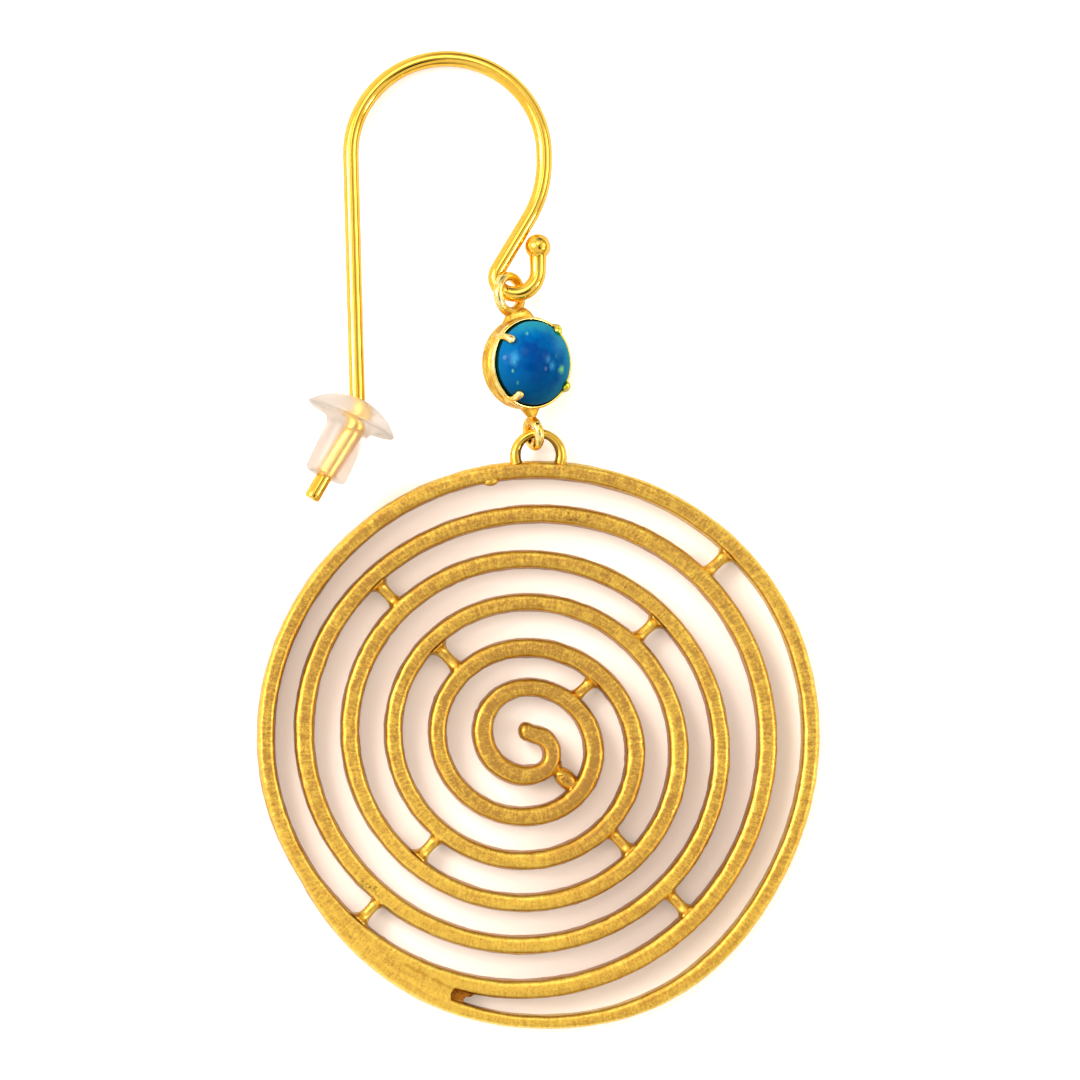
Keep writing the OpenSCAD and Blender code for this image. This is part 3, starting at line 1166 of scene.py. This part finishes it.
@dataclass
class StoneSetting:
    """Cup with four claws, a ring soldered above it and one below it, and the stone in it."""

    wires: WireTree
    metal: Material
    stone: Material
    cup_d: float = 4.92
    cup_depth: float = 1.3
    cup_roll: float = CUP_ROLL
    cup_turn: float = 10.0
    at: Pair = CUP_AT
    stone_d: float = 4.5
    dome_h: float = 1.5
    seat_z: float = 0.5
    girdle_above: float = 0.07
    rim_t: float = 0.2
    ring_wire_d: float = 0.53
    ring_steps: int = 56
    ring_reach: float = 3.76
    top_ring_r: float = 0.95
    top_ring_tip: float = 20.0
    top_ring_x: float = -0.2
    top_ring_z: float = 0.33
    low_ring_r: float = 0.67
    low_ring_tip: float = -4.0
    low_ring_z: float = 0.29
    claw_r: float = 0.18
    claw_count: int = 4
    first_claw: float = 45.0
    top_web: tuple[Pair, ...] = (
        (-1.1, 1.9), (1.1, 1.9), (0.98, 2.4), (0.8, 2.7), (0.55, 2.92),
        (0.1, 2.9), (-0.4, 2.85), (-0.64, 2.7), (-0.85, 2.4),
    )
    low_web: tuple[Pair, ...] = (
        (0.8, -1.9), (-0.8, -1.9), (-0.56, -2.45), (-0.36, -2.7),
        (-0.26, -2.95), (0.26, -2.95), (0.36, -2.7), (0.56, -2.45),
    )
    top_web_z: Pair = (0.12, 0.68)
    low_web_z: Pair = (0.12, 0.66)
    web_soft: float = 0.24
    voxel: float = 0.038
    smoothing: int = 3

    def place(self) -> Matrix:
        """Gives the matrix from the setting to the earring: turned about its axis and rolled on the table."""
        lift = self.cup_d / 2 * math.sin(math.radians(self.cup_roll))
        return Matrix.Translation((*self.at, lift)) @ turned(self.cup_roll, "Y") @ turned(self.cup_turn, "Z")

    def cup_outline(self) -> list[Pair]:
        """Works out the cup's half outline, with a groove round its wall and a rolled rim.

        Returns:
            Points (radius, height).
        """
        r, top = self.cup_d / 2, self.cup_depth
        inner = r - self.rim_t - 0.01
        return [
            (0.0, 0.0), (r - 0.2, 0.0), (r - 0.06, 0.05), (r - 0.01, 0.16), (r - 0.02, 0.6), (r - 0.04, 0.78),
            (r - 0.12, 0.84), (r - 0.12, 0.9), (r - 0.02, 0.98), (r, 1.06), (r, top - 0.12), (r - 0.04, top - 0.04),
            (r - 0.1, top), (inner + 0.05, top - 0.02), (inner, top - 0.08), (inner - 0.01, top - 0.35),
            (self.stone_d / 2 + 0.02, self.seat_z), (0.0, self.seat_z - 0.02),
        ]

    def ring(self, name: str, radius: float, place: Matrix) -> Object:
        """Sweeps one soldered ring.

        Args:
            name: The object's name.
            radius: The ring's radius to the middle of its wire.
            place: Its place in the setting.

        Returns:
            The ring.
        """
        turns = [math.tau * k / self.ring_steps for k in range(self.ring_steps)]
        points = [tuple(place @ Vector((radius * math.cos(a), radius * math.sin(a), 0.0))) for a in turns]
        sizes = {"Wire Radius": self.ring_wire_d / 2, "Sides": 20, "Handwork": 0.0, "Metal": self.metal}
        return self.wires.grow(name, guide_line(points, {"swell": [1.0] * len(points)}, closed=True), sizes)

    def claws(self) -> Object:
        """Repeats the bent claw round the cup.

        Returns:
            The claws as one object.
        """
        r = self.cup_d / 2
        points = [(r - 0.12, 0.0, 0.3), (r - 0.1, 0.0, 1.0), (r - 0.1, 0.0, 1.4), (r - 0.16, 0.0, 1.66),
                  (r - 0.28, 0.0, 1.84), (r - 0.44, 0.0, 1.95), (r - 0.56, 0.0, 2.0)]
        swell = [0.9, 1.0, 1.0, 1.05, 1.2, 1.35, 0.95]
        sizes = {"Count": self.claw_count, "First Turn": math.radians(self.first_claw), "Claw Radius": self.claw_r}
        return ClawTree().grow("claws", guide_line(points, {"swell": swell}), {**sizes, "Metal": self.metal})

    def web(self, name: str, corners: Sequence[Pair], heights: Pair) -> Object:
        """Makes one web of solder between a ring and the cup.

        Args:
            name: The object's name.
            corners: Its outline in the setting.
            heights: Its underside and its top.

        Returns:
            The web.
        """
        web = slab(name, corners, *heights)
        soft = web.modifiers.new("soft", "BEVEL")
        soft.width, soft.segments, soft.angle_limit = self.web_soft, 3, math.radians(50)
        return settle(web)

    def build(self) -> None:
        """Melts the cup, claws, rings and solder into one casting, and sets the stone."""
        cup = lathe("cup_and_rings", self.cup_outline(), 96)
        top_at = Matrix.Translation((self.top_ring_x, self.ring_reach, self.top_ring_z))
        low_at = Matrix.Translation((0, -self.ring_reach, self.low_ring_z))
        added = [
            self.claws(),
            self.ring("top_ring", self.top_ring_r, top_at @ turned(self.top_ring_tip, "Y")),
            self.ring("low_ring", self.low_ring_r, low_at @ turned(90 + self.low_ring_tip, "Y")),
            self.web("solder_top", self.top_web, self.top_web_z),
            self.web("solder_low", self.low_web, self.low_web_z),
        ]
        fused(cup, added, self.voxel, self.smoothing)
        finish_piece(cup, self.place(), [self.metal], "stone_setting")
        self.set_stone()

    def set_stone(self) -> None:
        """Turns the stone and finishes it."""
        r = self.stone_d / 2
        girdle = self.cup_depth + self.girdle_above
        dome_r = (r * r + self.dome_h**2) / (2 * self.dome_h)
        middle = girdle + self.dome_h - dome_r
        rise = [math.radians(a) for a in (26, 30, 35, 40, 46, 52, 58, 64, 70, 76, 82, 87)]
        dome = [(dome_r * math.cos(a), middle + dome_r * math.sin(a)) for a in rise]
        seat = self.seat_z
        foot = [(0.0, seat), (r - 0.08, seat), (r, seat + 0.1), (r, girdle - 0.12), (r - 0.012, girdle)]
        stone = lathe("blue_cabochon", [*foot, *dome, (0.0, middle + dome_r)], 96)
        finish_piece(stone, self.place(), [self.stone], "cabochon")


# The spiral drop.


class StripTree(GrowTree):
    """Winds a strip with rounded shoulders along a spiral rule."""

    def __init__(self) -> None:
        """Builds the tree."""
        names = (
            "First Radius", "Pitch", "Oval", "Oval Turn", "Strip Width",
            "Strip Thickness", "Shoulder", "Waviness", "Draft",
        )
        super().__init__("spiral_strip", dict.fromkeys(names, SocketKind.FLOAT))
        g, given = self.graph, self.given
        turn, stray, breadth, fullness = (g.mark(name) for name in ("turn", "stray", "breadth", "fullness"))
        phase = g.times(g.minus(turn, given["Oval Turn"]), 2 * math.tau)
        oval = g.times(g.math("COSINE", phase), given["Oval"])
        true_r = g.times_plus(turn, given["Pitch"], given["First Radius"])
        radius = g.plus(g.plus(true_r, oval), stray)
        angle = g.times_plus(turn, -math.tau, -math.pi / 2)
        spot = g.join(
            g.times(radius, g.math("COSINE", angle)),
            g.times(radius, g.math("SINE", angle)),
            g.times(given["Strip Thickness"], 0.5),
        )
        wound = g.out("GeometryNodeSetPosition", {"Geometry": given["Guide"], "Position": spot})
        line = g.out("GeometryNodeSetCurveNormal", {0: g.out("GeometryNodeMeshToCurve", {0: wound})}, mode="Z_UP")
        keep = g.add("GeometryNodeCaptureAttribute", {"Geometry": line})
        keep.capture_items.new("VECTOR", "Middle")
        keep.capture_items.new("VECTOR", "Side")
        g.feed(keep.inputs["Middle"], g.out("GeometryNodeInputPosition"))
        g.feed(keep.inputs["Side"], g.vector("CROSS_PRODUCT", g.out("GeometryNodeInputTangent"), (0, 0, 1)))
        block = g.out("GeometryNodeCurvePrimitiveQuadrilateral", {0: given["Strip Width"], 1: given["Strip Thickness"]})
        corner = {"Curve": block, "Radius": given["Shoulder"], "Count": 6}
        rounded = g.out("GeometryNodeFilletCurve", corner, mode="POLY")
        section = g.out("GeometryNodeResampleCurve", {"Curve": rounded, "Count": 44})
        swept = swept_section(g, keep.outputs[0], section, 1.0)
        here = g.out("GeometryNodeInputPosition")
        offset = g.vector("SUBTRACT", here, keep.outputs["Middle"])
        side = keep.outputs["Side"]
        across = g.vector("DOT_PRODUCT", offset, side)
        height = g.vector("DOT_PRODUCT", offset, (0, 0, 1))
        ragged = g.times(g.ramp(g.noise(here, 0.3, 1.0), 0.5, 0.7), 1.2)
        nicks = g.times(g.minus(g.noise(here, 2.6, 2.0), 0.5), g.plus(ragged, 0.35))
        slow = g.minus(g.noise(here, 1.1, 2.0), 0.5)
        wave = g.times(g.plus(slow, nicks), given["Waviness"])
        top_share = g.math("DIVIDE", height, given["Strip Thickness"])
        taper = g.minus(1.0, g.times(given["Draft"], g.plus(top_share, 0.5)))
        full_width = g.times(g.times(breadth, fullness), taper)
        wide = g.plus(g.times(across, full_width), wave)
        tall = g.times(height, fullness)
        moved = g.vector("ADD", g.vector("SCALE", side, scale=wide), g.vector("SCALE", (0, 0, 1), scale=tall))
        final = g.vector("ADD", keep.outputs["Middle"], moved)
        self.close(g.out("GeometryNodeSetPosition", {"Geometry": swept, "Position": final}))


class BarTree(GrowTree):
    """Sets waisted bars from one turn of the spiral to the next."""

    def __init__(self) -> None:
        """Builds the tree."""
        sizes = dict.fromkeys(["Waist", "Flare", "Reach Up"], SocketKind.FLOAT)
        super().__init__("waisted_bars", sizes)
        g, given = self.graph, self.given
        line = g.out("GeometryNodeCurvePrimitiveLine", {"Start": (0, 0, 0), "End": (1, 0, 0)})
        line = g.out("GeometryNodeResampleCurve", {"Curve": line, "Count": 21})
        share = g.add("GeometryNodeSplineParameter").outputs["Factor"]
        thick = g.times_plus(self.ends(share), given["Flare"], given["Waist"])
        circle = g.out("GeometryNodeCurvePrimitiveCircle", {"Resolution": 28, "Radius": 1.0})
        bar = swept_section(g, line, circle, thick)
        x, y, z = g.add("ShaderNodeSeparateXYZ", {0: g.out("GeometryNodeInputPosition")}).outputs
        ends, reach_up = self.ends(x), given["Reach Up"]
        spread = g.times(y, g.plus(g.times(ends, g.times_plus(x, 0.35, 0.1)), 1.0))
        tall = g.times(z, g.times_plus(ends, 0.5, 1.0))
        trimmed = g.math("MAXIMUM", g.math("MINIMUM", tall, reach_up), g.times(reach_up, -1.0))
        bar = g.out("GeometryNodeSetPosition", {"Geometry": bar, "Position": g.join(x, spread, trimmed)})
        spin = g.out("FunctionNodeEulerToRotation", {0: g.join(z=g.mark("heading"))})
        self.close(g.out("GeometryNodeInstanceOnPoints", {
            "Points": given["Guide"], "Instance": bar, "Rotation": spin, "Scale": g.join(g.mark("reach"), 1.0, 1.0),
        }))

    def ends(self, share: Socket) -> Socket:
        """How near a place along the bar is to either end: 0 at its waist and 1 at its ends."""
        g = self.graph
        return g.math("POWER", g.math("ABSOLUTE", g.times_plus(share, 2.0, -1.0)), 3.4)


@dataclass(frozen=True)
class StripRow:
    """Where the hand-made strip strays from the true spiral."""

    turn: float
    stray: float
    breadth: float


@dataclass
class SpiralDrop:
    """Cast flat spiral with short bars between its turns, a casting nub and a bail."""

    wires: WireTree
    metal: Material
    wire_metal: Material
    at: Pair = SPIRAL_AT
    first_r: float = 1.77
    pitch: float = 2.29
    strip_w: float = 1.06
    strip_t: float = 1.3
    bar_foot: float = 0.34
    bar_sunk: float = 0.44
    bar_d: float = 0.68
    waist_in: float = 0.045
    end_in: float = 0.14
    top_in: float = 0.08
    oval: float = 0.16
    oval_turn: float = 0.33
    tip_turn: float = -0.52
    overlap_turn: float = 5.5
    last_turn: float = 6.17
    steps_per_turn: int = 250
    shoulder: float = 0.3
    waviness: float = 0.1
    draft: float = 0.19
    bail_x: float = 0.58
    bail_r: float = 1.22
    bail_wire_d: float = 0.48
    bail_rise: float = 0.22
    bail_drop: float = 0.26
    bail_from: float = -20.0
    bail_sweep: float = 220.0
    bail_steps: int = 44
    bail_swell: float = 0.32
    nub_turn: float = 5.478
    sink: float = 0.02
    sink_turn: float = 5.88
    sink_run: float = 0.06
    wedge_turn: float = 6.045
    wedge_bite: float = 0.05
    wedge_top: float = 0.985
    ledge_top: float = 0.6
    slab_low: float = 0.03
    sharp_deg: float = 38.0
    ledge_corners: tuple[Pair, ...] = (
        (-4.95, -23.4), (-2.9, -23.6), (-2.95, -24.1), (-3.2, -24.2), (-3.45, -24.18), (-3.7, -24.32), (-3.92, -24.3),
        (-4.08, -24.46), (-4.02, -24.7), (-4.2, -25.0), (-4.95, -24.9),
    )
    bar_turns: tuple[float, ...] = (-0.13, 0.63, 1.38, 1.88, 2.12, 2.63, 3.38, 3.88, 4.12, 4.63)
    rows: tuple[StripRow, ...] = tuple(StripRow(*row) for row in (
        (-0.52, 0.05, 1.04), (-0.45, -0.06, 0.98), (-0.34, -0.2, 1.02), (-0.2, -0.06, 1.0), (-0.1, 0.1, 1.0),
        (0.05, 0.06, 1.15), (0.27, -0.14, 1.15), (0.48, 0.1, 1.0), (0.8, -0.05, 1.12), (1.2, 0.02, 1.0),
        (1.7, -0.12, 1.1), (2.1, 0.07, 1.02), (2.5, 0.05, 0.98), (2.8, -0.07, 1.1), (3.05, 0.02, 1.0),
        (3.3, 0.12, 1.05), (3.6, 0.0, 1.0), (3.87, -0.14, 1.03), (4.05, 0.0, 1.02), (4.26, 0.26, 1.1),
        (4.45, 0.05, 1.0), (4.63, 0.52, 1.1), (4.83, -0.15, 1.1), (5.02, 0.03, 1.05), (5.2, 0.08, 0.98),
        (5.35, -0.13, 0.96), (5.5, 0.22, 0.98), (5.66, 0.58, 1.0), (5.82, -0.21, 0.98), (5.92, -0.1, 0.96),
        (6.0, -0.57, 0.76), (6.06, -1.04, 0.85), (6.17, -2.22, 0.9),
    ))

    def smooth(self, column: str, turn: float) -> float:
        """Reads a smooth curve through one column of the rows.

        Args:
            column: The column's name.
            turn: The place along the spiral.

        Returns:
            The value there.
        """
        rows = self.rows
        i = max([k for k in range(len(rows) - 1) if k == 0 or rows[k].turn <= turn])
        near = [rows[max(i - 1, 0)], rows[i], rows[i + 1], rows[min(i + 2, len(rows) - 1)]]
        y = [getattr(row, column) for row in near]
        step = near[2].turn - near[1].turn
        s0 = (y[2] - y[0]) / (near[2].turn - near[0].turn) * step
        s1 = (y[3] - y[1]) / (near[3].turn - near[1].turn) * step
        t = (turn - near[1].turn) / step
        return y[1] + t * (s0 + t * (3 * (y[2] - y[1]) - 2 * s0 - s1 + t * (2 * (y[1] - y[2]) + s0 + s1)))

    def radius(self, turn: float) -> float:
        """The strip's middle radius at a turn."""
        wave = self.oval * math.cos(2 * math.tau * (turn - self.oval_turn))
        return self.first_r + self.pitch * turn + wave + self.smooth("stray", turn)

    def half(self, turn: float) -> float:
        """Half the strip's width at a turn."""
        return self.strip_w / 2 * self.smooth("breadth", turn)

    def strip(self, name: str, tree: StripTree, start: float, end: float) -> Object:
        """Winds one stretch of the strip.

        Args:
            name: The object's name.
            tree: The tree that winds it.
            start: Its first turn.
            end: Its last turn.

        Returns:
            The stretch.
        """
        count = math.ceil((end - start) * self.steps_per_turn)
        turns = [start + (end - start) * k / count for k in range(count + 1)]
        sunk = [min(1.0, max(0.0, (turn - self.sink_turn) / self.sink_run)) for turn in turns]
        marks = {
            "turn": turns,
            "stray": [self.smooth("stray", turn) for turn in turns],
            "breadth": [self.smooth("breadth", turn) for turn in turns],
            "fullness": [1.0 - self.sink * share for share in sunk],
        }
        sizes = {
            "First Radius": self.first_r, "Pitch": self.pitch, "Oval": self.oval, "Oval Turn": self.oval_turn,
            "Strip Width": self.strip_w, "Strip Thickness": self.strip_t, "Shoulder": self.shoulder,
            "Waviness": self.waviness, "Draft": self.draft, "Metal": self.metal,
        }
        return tree.grow(name, guide_line([(float(k), 0.0, 0.0) for k in range(count + 1)], marks), sizes)

    def bars(self) -> Object:
        """Sets the bars between the turns.

        Returns:
            The bars as one object.
        """
        points, reach, heading = [], [], []
        for turn in self.bar_turns:
            angle = -90 - 360 * turn
            start, end = self.radius(turn) + self.bar_foot, self.radius(turn + 1) - self.bar_sunk
            points.append(tuple(heading_vector(angle) * start + Vector((0, 0, self.strip_t / 2))))
            reach.append(end - start)
            heading.append(math.radians(angle))
        guide = guide_line(points, {"reach": reach, "heading": heading})
        waist, middle = self.bar_d / 2 - self.waist_in, self.strip_t / 2
        sizes = {"Waist": waist, "Flare": middle - self.end_in - waist, "Reach Up": middle - self.top_in}
        return BarTree().grow("bars", guide, {**sizes, "Metal": self.metal})

    def web(self) -> Object:
        """Fills the wedge where the outer end of the strip lies against the turn before.

        Returns:
            The web.
        """
        start, steps = self.wedge_turn, 14
        turns = [start + (self.last_turn - start) * k / steps for k in range(steps + 1)]
        outer = [heading_vector(-90 - 360 * t) * self.radius(t) for t in turns]
        inner = [heading_vector(-90 - 360 * t) * (self.radius(t - 1) - self.wedge_bite) for t in turns]
        bite = (Vector((-0.1, 0.0, 0.0)), Vector((-0.22, 0.0, 0.0)), Vector((-0.12, 0.0, 0.0)))
        end = [inner[0].lerp(outer[0], (k + 1) / 4) + shift for k, shift in enumerate(bite)]
        return self.cast(slab("web", [*outer, *reversed(inner), *end], self.slab_low, self.strip_t * self.wedge_top))

    def ledge(self) -> Object:
        """Leaves rough metal low in the tip of the wedge, as the casting did."""
        corners = [Vector(p) - Vector(self.at) for p in self.ledge_corners]
        return self.cast(slab("ledge", corners, self.slab_low, self.strip_t * self.ledge_top))

    def cast(self, obj: Object) -> Object:
        """Gives a solid the spiral's metal and hands it back."""
        obj.data.materials.append(self.metal)
        return obj

    def bail(self) -> Object:
        """Bends the bail's wire over the rim.

        Returns:
            The bail.
        """
        top = self.radius(self.overlap_turn) + self.half(self.overlap_turn)
        middle = Vector((self.bail_x, top + self.bail_rise, self.strip_t - self.bail_drop))
        steps = self.bail_steps
        angles = [self.bail_from + self.bail_sweep * k / steps for k in range(steps + 1)]
        points = [tuple(middle + heading_vector(a) * self.bail_r) for a in angles]
        swell = [1.0 + self.bail_swell * max(0.0, 1 - min(k, steps - k) / 16) for k in range(steps + 1)]
        sizes = {"Wire Radius": self.bail_wire_d / 2, "Sides": 24, "Handwork": 0.015, "Metal": self.wire_metal}
        return self.wires.grow("bail", guide_line(points, {"swell": swell}), sizes)

    def lump(self, name: str, turn: float, out: float, size: Point, height: float) -> Object:
        """Makes one rounded lump of the casting.

        Args:
            name: The object's name.
            turn: Its place along the spiral.
            out: How far its middle lies outside the strip's middle.
            size: Its half sizes: along the strip, across it and up.
            height: The height of its middle.

        Returns:
            The lump.
        """
        steps = [math.pi * k / 10 for k in range(11)]
        outline = [(0.0, -1.0), *[(math.sin(a), -math.cos(a)) for a in steps[1:-1]], (0.0, 1.0)]
        lump = lathe(name, outline, 20)
        angle = -90 - 360 * turn
        spot = heading_vector(angle) * (self.radius(turn) + out) + Vector((0, 0, height))
        lump.data.transform(Matrix.Translation(spot) @ turned(angle + 90, "Z") @ Matrix.Diagonal((*size, 1.0)))
        return self.cast(lump)

    def lumps(self) -> list[Object]:
        """Makes the casting nub inside the outer turn, the inner tip's end and the knot on the innermost bar.

        Returns:
            The lumps.
        """
        edge = self.half(self.nub_turn)
        return [
            self.lump("nub", self.nub_turn, 0.1 - edge, (0.4, 0.24, 0.3), self.strip_t / 2 + 0.32),
            self.lump("tip", self.tip_turn, 0.0, (0.4, 0.52, 0.64), self.strip_t / 2),
            self.lump("knot", self.bar_turns[0], 1.2, (0.5, 0.82, 0.6), self.strip_t / 2),
        ]

    def build(self) -> None:
        """Winds the strip, sets the bars and makes all of it one casting."""
        tree = StripTree()
        inner = self.strip("cast_spiral", tree, self.tip_turn, self.overlap_turn)
        outer = self.strip("outer", tree, self.overlap_turn, self.last_turn)
        joined(inner, [outer, self.web(), self.ledge(), self.bars(), *self.lumps(), self.bail()], Union3D.ADD)
        inner.data.set_sharp_from_angle(angle=math.radians(self.sharp_deg))
        place = Matrix.Translation((*self.at, 0.0))
        finish_piece(inner, place, [self.metal, self.wire_metal], "spiral_drop")


# The table, the light and the camera.


@dataclass(frozen=True)
class LightPatch:
    """A round patch of the studio's dome that is brighter or darker than the rest."""

    toward: Point
    inner_deg: float
    outer_deg: float
    change: float


@dataclass(frozen=True)
class Softbox:
    """One square softbox; metal mirrors it only where that is wanted."""

    name: str
    place: Point
    size: float
    energy: float
    mirrored: bool


@dataclass(frozen=True)
class Studio:
    """Pale table, soft light from both sides and a camera almost straight above."""

    table_half: float = 0.6
    table_below: float = 0.00003
    camera_at: Point = (-0.018, -0.003, 0.32)
    aim: Point = (0.0, 0.0, 0.001)
    view_height: float = 0.0575
    table_colour: Colour = (0.95, 0.91, 0.88)
    # Under the spiral the table takes a warmer colour and glow as painted bounce light from the gold, and darker ones
    # on the lee side as painted shadow.
    painted_bounce_tint: Colour = (0.83, 0.70, 0.61)
    painted_bounce_glow: Colour = (0.15, 0.155, 0.13)
    painted_lee_shadow: Colour = (0.73, 0.60, 0.52)
    painted_lee_shadow_glow: Colour = (0.13, 0.14, 0.12)
    painted_shadow_side: Point = (0.8, -0.6, 0.0)
    painted_shadow_span: Pair = (1.0, 11.0)
    painted_bounce_at: Point = (*SPIRAL_AT, 0.0)
    painted_bounce_r: Pair = (14.0, 15.5)
    table_glow: Colour = (0.26, 0.22, 0.19)
    # Darker table colour that metal mirrors: painted shade in reflections.
    table_shaded_in_reflections: Colour = (0.66, 0.62, 0.55)
    ceiling: float = 1.0
    left_wall: float = 1.2
    right_wall: float = 0.55
    ceiling_from: Pair = (0.3, 0.6)
    left_from: Pair = (0.3, -0.3)
    dome_colour: Colour = (1.0, 0.985, 0.965)
    patches: tuple[LightPatch, ...] = (
        LightPatch((-0.66, 0.19, 0.73), 5.0, 21.0, 5.2),
        LightPatch((0.82, 0.20, 0.53), 5.0, 16.0, 3.2),
        LightPatch((-0.04, 0.47, 0.88), 6.0, 14.0, 3.0),
        LightPatch((0.12, -0.08, 0.99), 6.0, 17.0, -0.55),
        LightPatch((0.25, -0.26, 0.93), 6.0, 12.0, -1.5),
        LightPatch((0.25, 0.22, 0.94), 4.0, 13.0, -0.5),
        LightPatch((0.1, 0.95, 0.25), 12.0, 30.0, -0.4),
        LightPatch((-0.1, -0.95, 0.25), 12.0, 30.0, -0.4),
    )
    softboxes: tuple[Softbox, ...] = (
        Softbox("left_lamp", (-0.42, 0.12, 0.3), 0.075, 0.55, True),
        Softbox("right_lamp", (0.42, -0.11, 0.3), 0.075, 0.38, True),
        Softbox("left_fill", (-0.31, 0.29, 0.27), 0.2, 2.1, False),
        Softbox("right_fill", (0.45, -0.12, 0.27), 0.45, 0.6, False),
    )

    def build(self) -> None:
        """Builds the table, the light and the camera."""
        self.table()
        self.light()
        self.camera()
        bpy.context.scene.view_settings.view_transform = "Standard"

    def table(self) -> None:
        """Lays the pale table under the earring, with painted bounce light and painted shadow under the spiral."""
        bm = bmesh.new()
        bmesh.ops.create_grid(bm, x_segments=1, y_segments=1, size=self.table_half)
        table = from_bmesh("table", bm)
        table.location.z = -self.table_below
        f = Finish("pale_table")
        g = f.graph
        # Painted bounce light and painted shadow: inside the spiral's outline the table is warmer, and darker towards
        # the lower right.
        offset = g.vector("SUBTRACT", f.place, self.painted_bounce_at)
        clear = g.ramp(g.vector("LENGTH", offset), *self.painted_bounce_r)
        lee_shadow_share = g.ramp(g.vector("DOT_PRODUCT", offset, self.painted_shadow_side), *self.painted_shadow_span)
        pale = g.mix(clear, g.mix(lee_shadow_share, self.painted_bounce_tint, self.painted_lee_shadow), self.table_colour)
        glow = g.mix(clear, g.mix(lee_shadow_share, self.painted_bounce_glow, self.painted_lee_shadow_glow), self.table_glow)
        # Painted shade in reflections: glossy rays see the table darker and without its glow.
        mirrored = g.add("ShaderNodeLightPath").outputs["Is Glossy Ray"]
        f.set(
            Base_Color=g.mix(mirrored, pale, self.table_shaded_in_reflections),
            Roughness=0.7,
            Emission_Color=g.mix(mirrored, glow, (0.0, 0.0, 0.0)),
            Emission_Strength=1.0,
        )
        table.data.materials.append(f.material)

    def light(self) -> None:
        """Lights the studio softly from both sides, with the dark lens straight above."""
        world = bpy.data.worlds.new("studio")
        bpy.context.scene.world = world
        world.use_nodes = True
        g = Graph(world.node_tree)
        way = g.add("ShaderNodeTexCoord").outputs["Generated"]
        axes = g.add("ShaderNodeSeparateXYZ", {0: way}).outputs
        overhead = g.ramp(axes["Z"], *self.ceiling_from)
        left = g.ramp(axes["X"], *self.left_from)
        low = g.times_plus(left, self.left_wall - self.right_wall, self.right_wall)
        dome = g.times_plus(overhead, g.minus(self.ceiling, low), low)
        for patch in self.patches:
            outer, inner = (math.cos(math.radians(a)) for a in (patch.outer_deg, patch.inner_deg))
            near = g.vector("DOT_PRODUCT", way, tuple(Vector(patch.toward).normalized()))
            dome = g.math("MAXIMUM", g.times_plus(g.ramp(near, outer, inner), patch.change, dome), 0.02)
        back = next(n for n in world.node_tree.nodes if n.type == "BACKGROUND")
        g.feed(back.inputs["Color"], (*self.dome_colour, 1.0))
        g.feed(back.inputs["Strength"], dome)
        for box in self.softboxes:
            lamp = bpy.data.lights.new(box.name, "AREA")
            lamp.shape, lamp.size, lamp.energy = "SQUARE", box.size, box.energy
            softbox = linked(bpy.data.objects.new(box.name, lamp))
            softbox.location = box.place
            softbox.rotation_mode = "QUATERNION"
            softbox.rotation_quaternion = (-Vector(box.place)).to_track_quat("-Z", "Y")
            softbox.visible_glossy = box.mirrored

    def camera(self) -> None:
        """Sets the camera almost straight above, slightly to the left."""
        lens = bpy.data.cameras.new("camera")
        camera = linked(bpy.data.objects.new("camera", lens))
        away = Vector(self.camera_at) - Vector(self.aim)
        right = Vector((0.0, 1.0, 0.0)).cross(away).normalized()
        up = away.cross(right).normalized()
        turn = Matrix((right, up, away.normalized())).transposed()
        camera.matrix_world = Matrix.Translation(self.camera_at) @ turn.to_4x4()
        lens.lens = lens.sensor_width * away.length / self.view_height
        lens.clip_start, lens.clip_end = 0.01, 10.0
        bpy.context.scene.camera = camera


def main() -> None:
    """Builds the earring's sub-assemblies in order, then the studio."""
    logging.basicConfig(level=logging.INFO, format="%(message)s")
    polished = PolishedGold().made()
    bail_gold = PolishedGold("bail_gold", dark_reflection_at=(-0.1, 4.47, 0.0), dark_reflection_r=1.18).made()
    silicone = ClearSilicone().made()
    roll, foot = math.radians(CUP_ROLL), Vector((*CUP_AT, 1.155))
    axis = Vector((math.sin(roll), 0.0, math.cos(roll)))
    cast = CastGold(foot=tuple(foot), axis=tuple(axis)).made()
    stone = BlueStone(centre=(-0.4, 9.4, 3.0), axis=tuple(axis), girdle=foot.dot(axis) + 1.37).made()
    satin = SatinGold(
        centre=SPIRAL_AT,
        seam=((-7.2, -22.55), (-4.7, -23.85)),
        pit_end=((-4.55, -23.95), (-3.5, -24.3)),
    ).made()
    wires = WireTree()
    hook = EarWire(wires, polished)
    stopper = SoftStopper(hook, silicone)
    setting = StoneSetting(wires, cast, stone)
    for part in (hook, stopper, setting, SpiralDrop(wires, satin, bail_gold), Studio()):
        part.build()


if __name__ == "__main__":
    main()
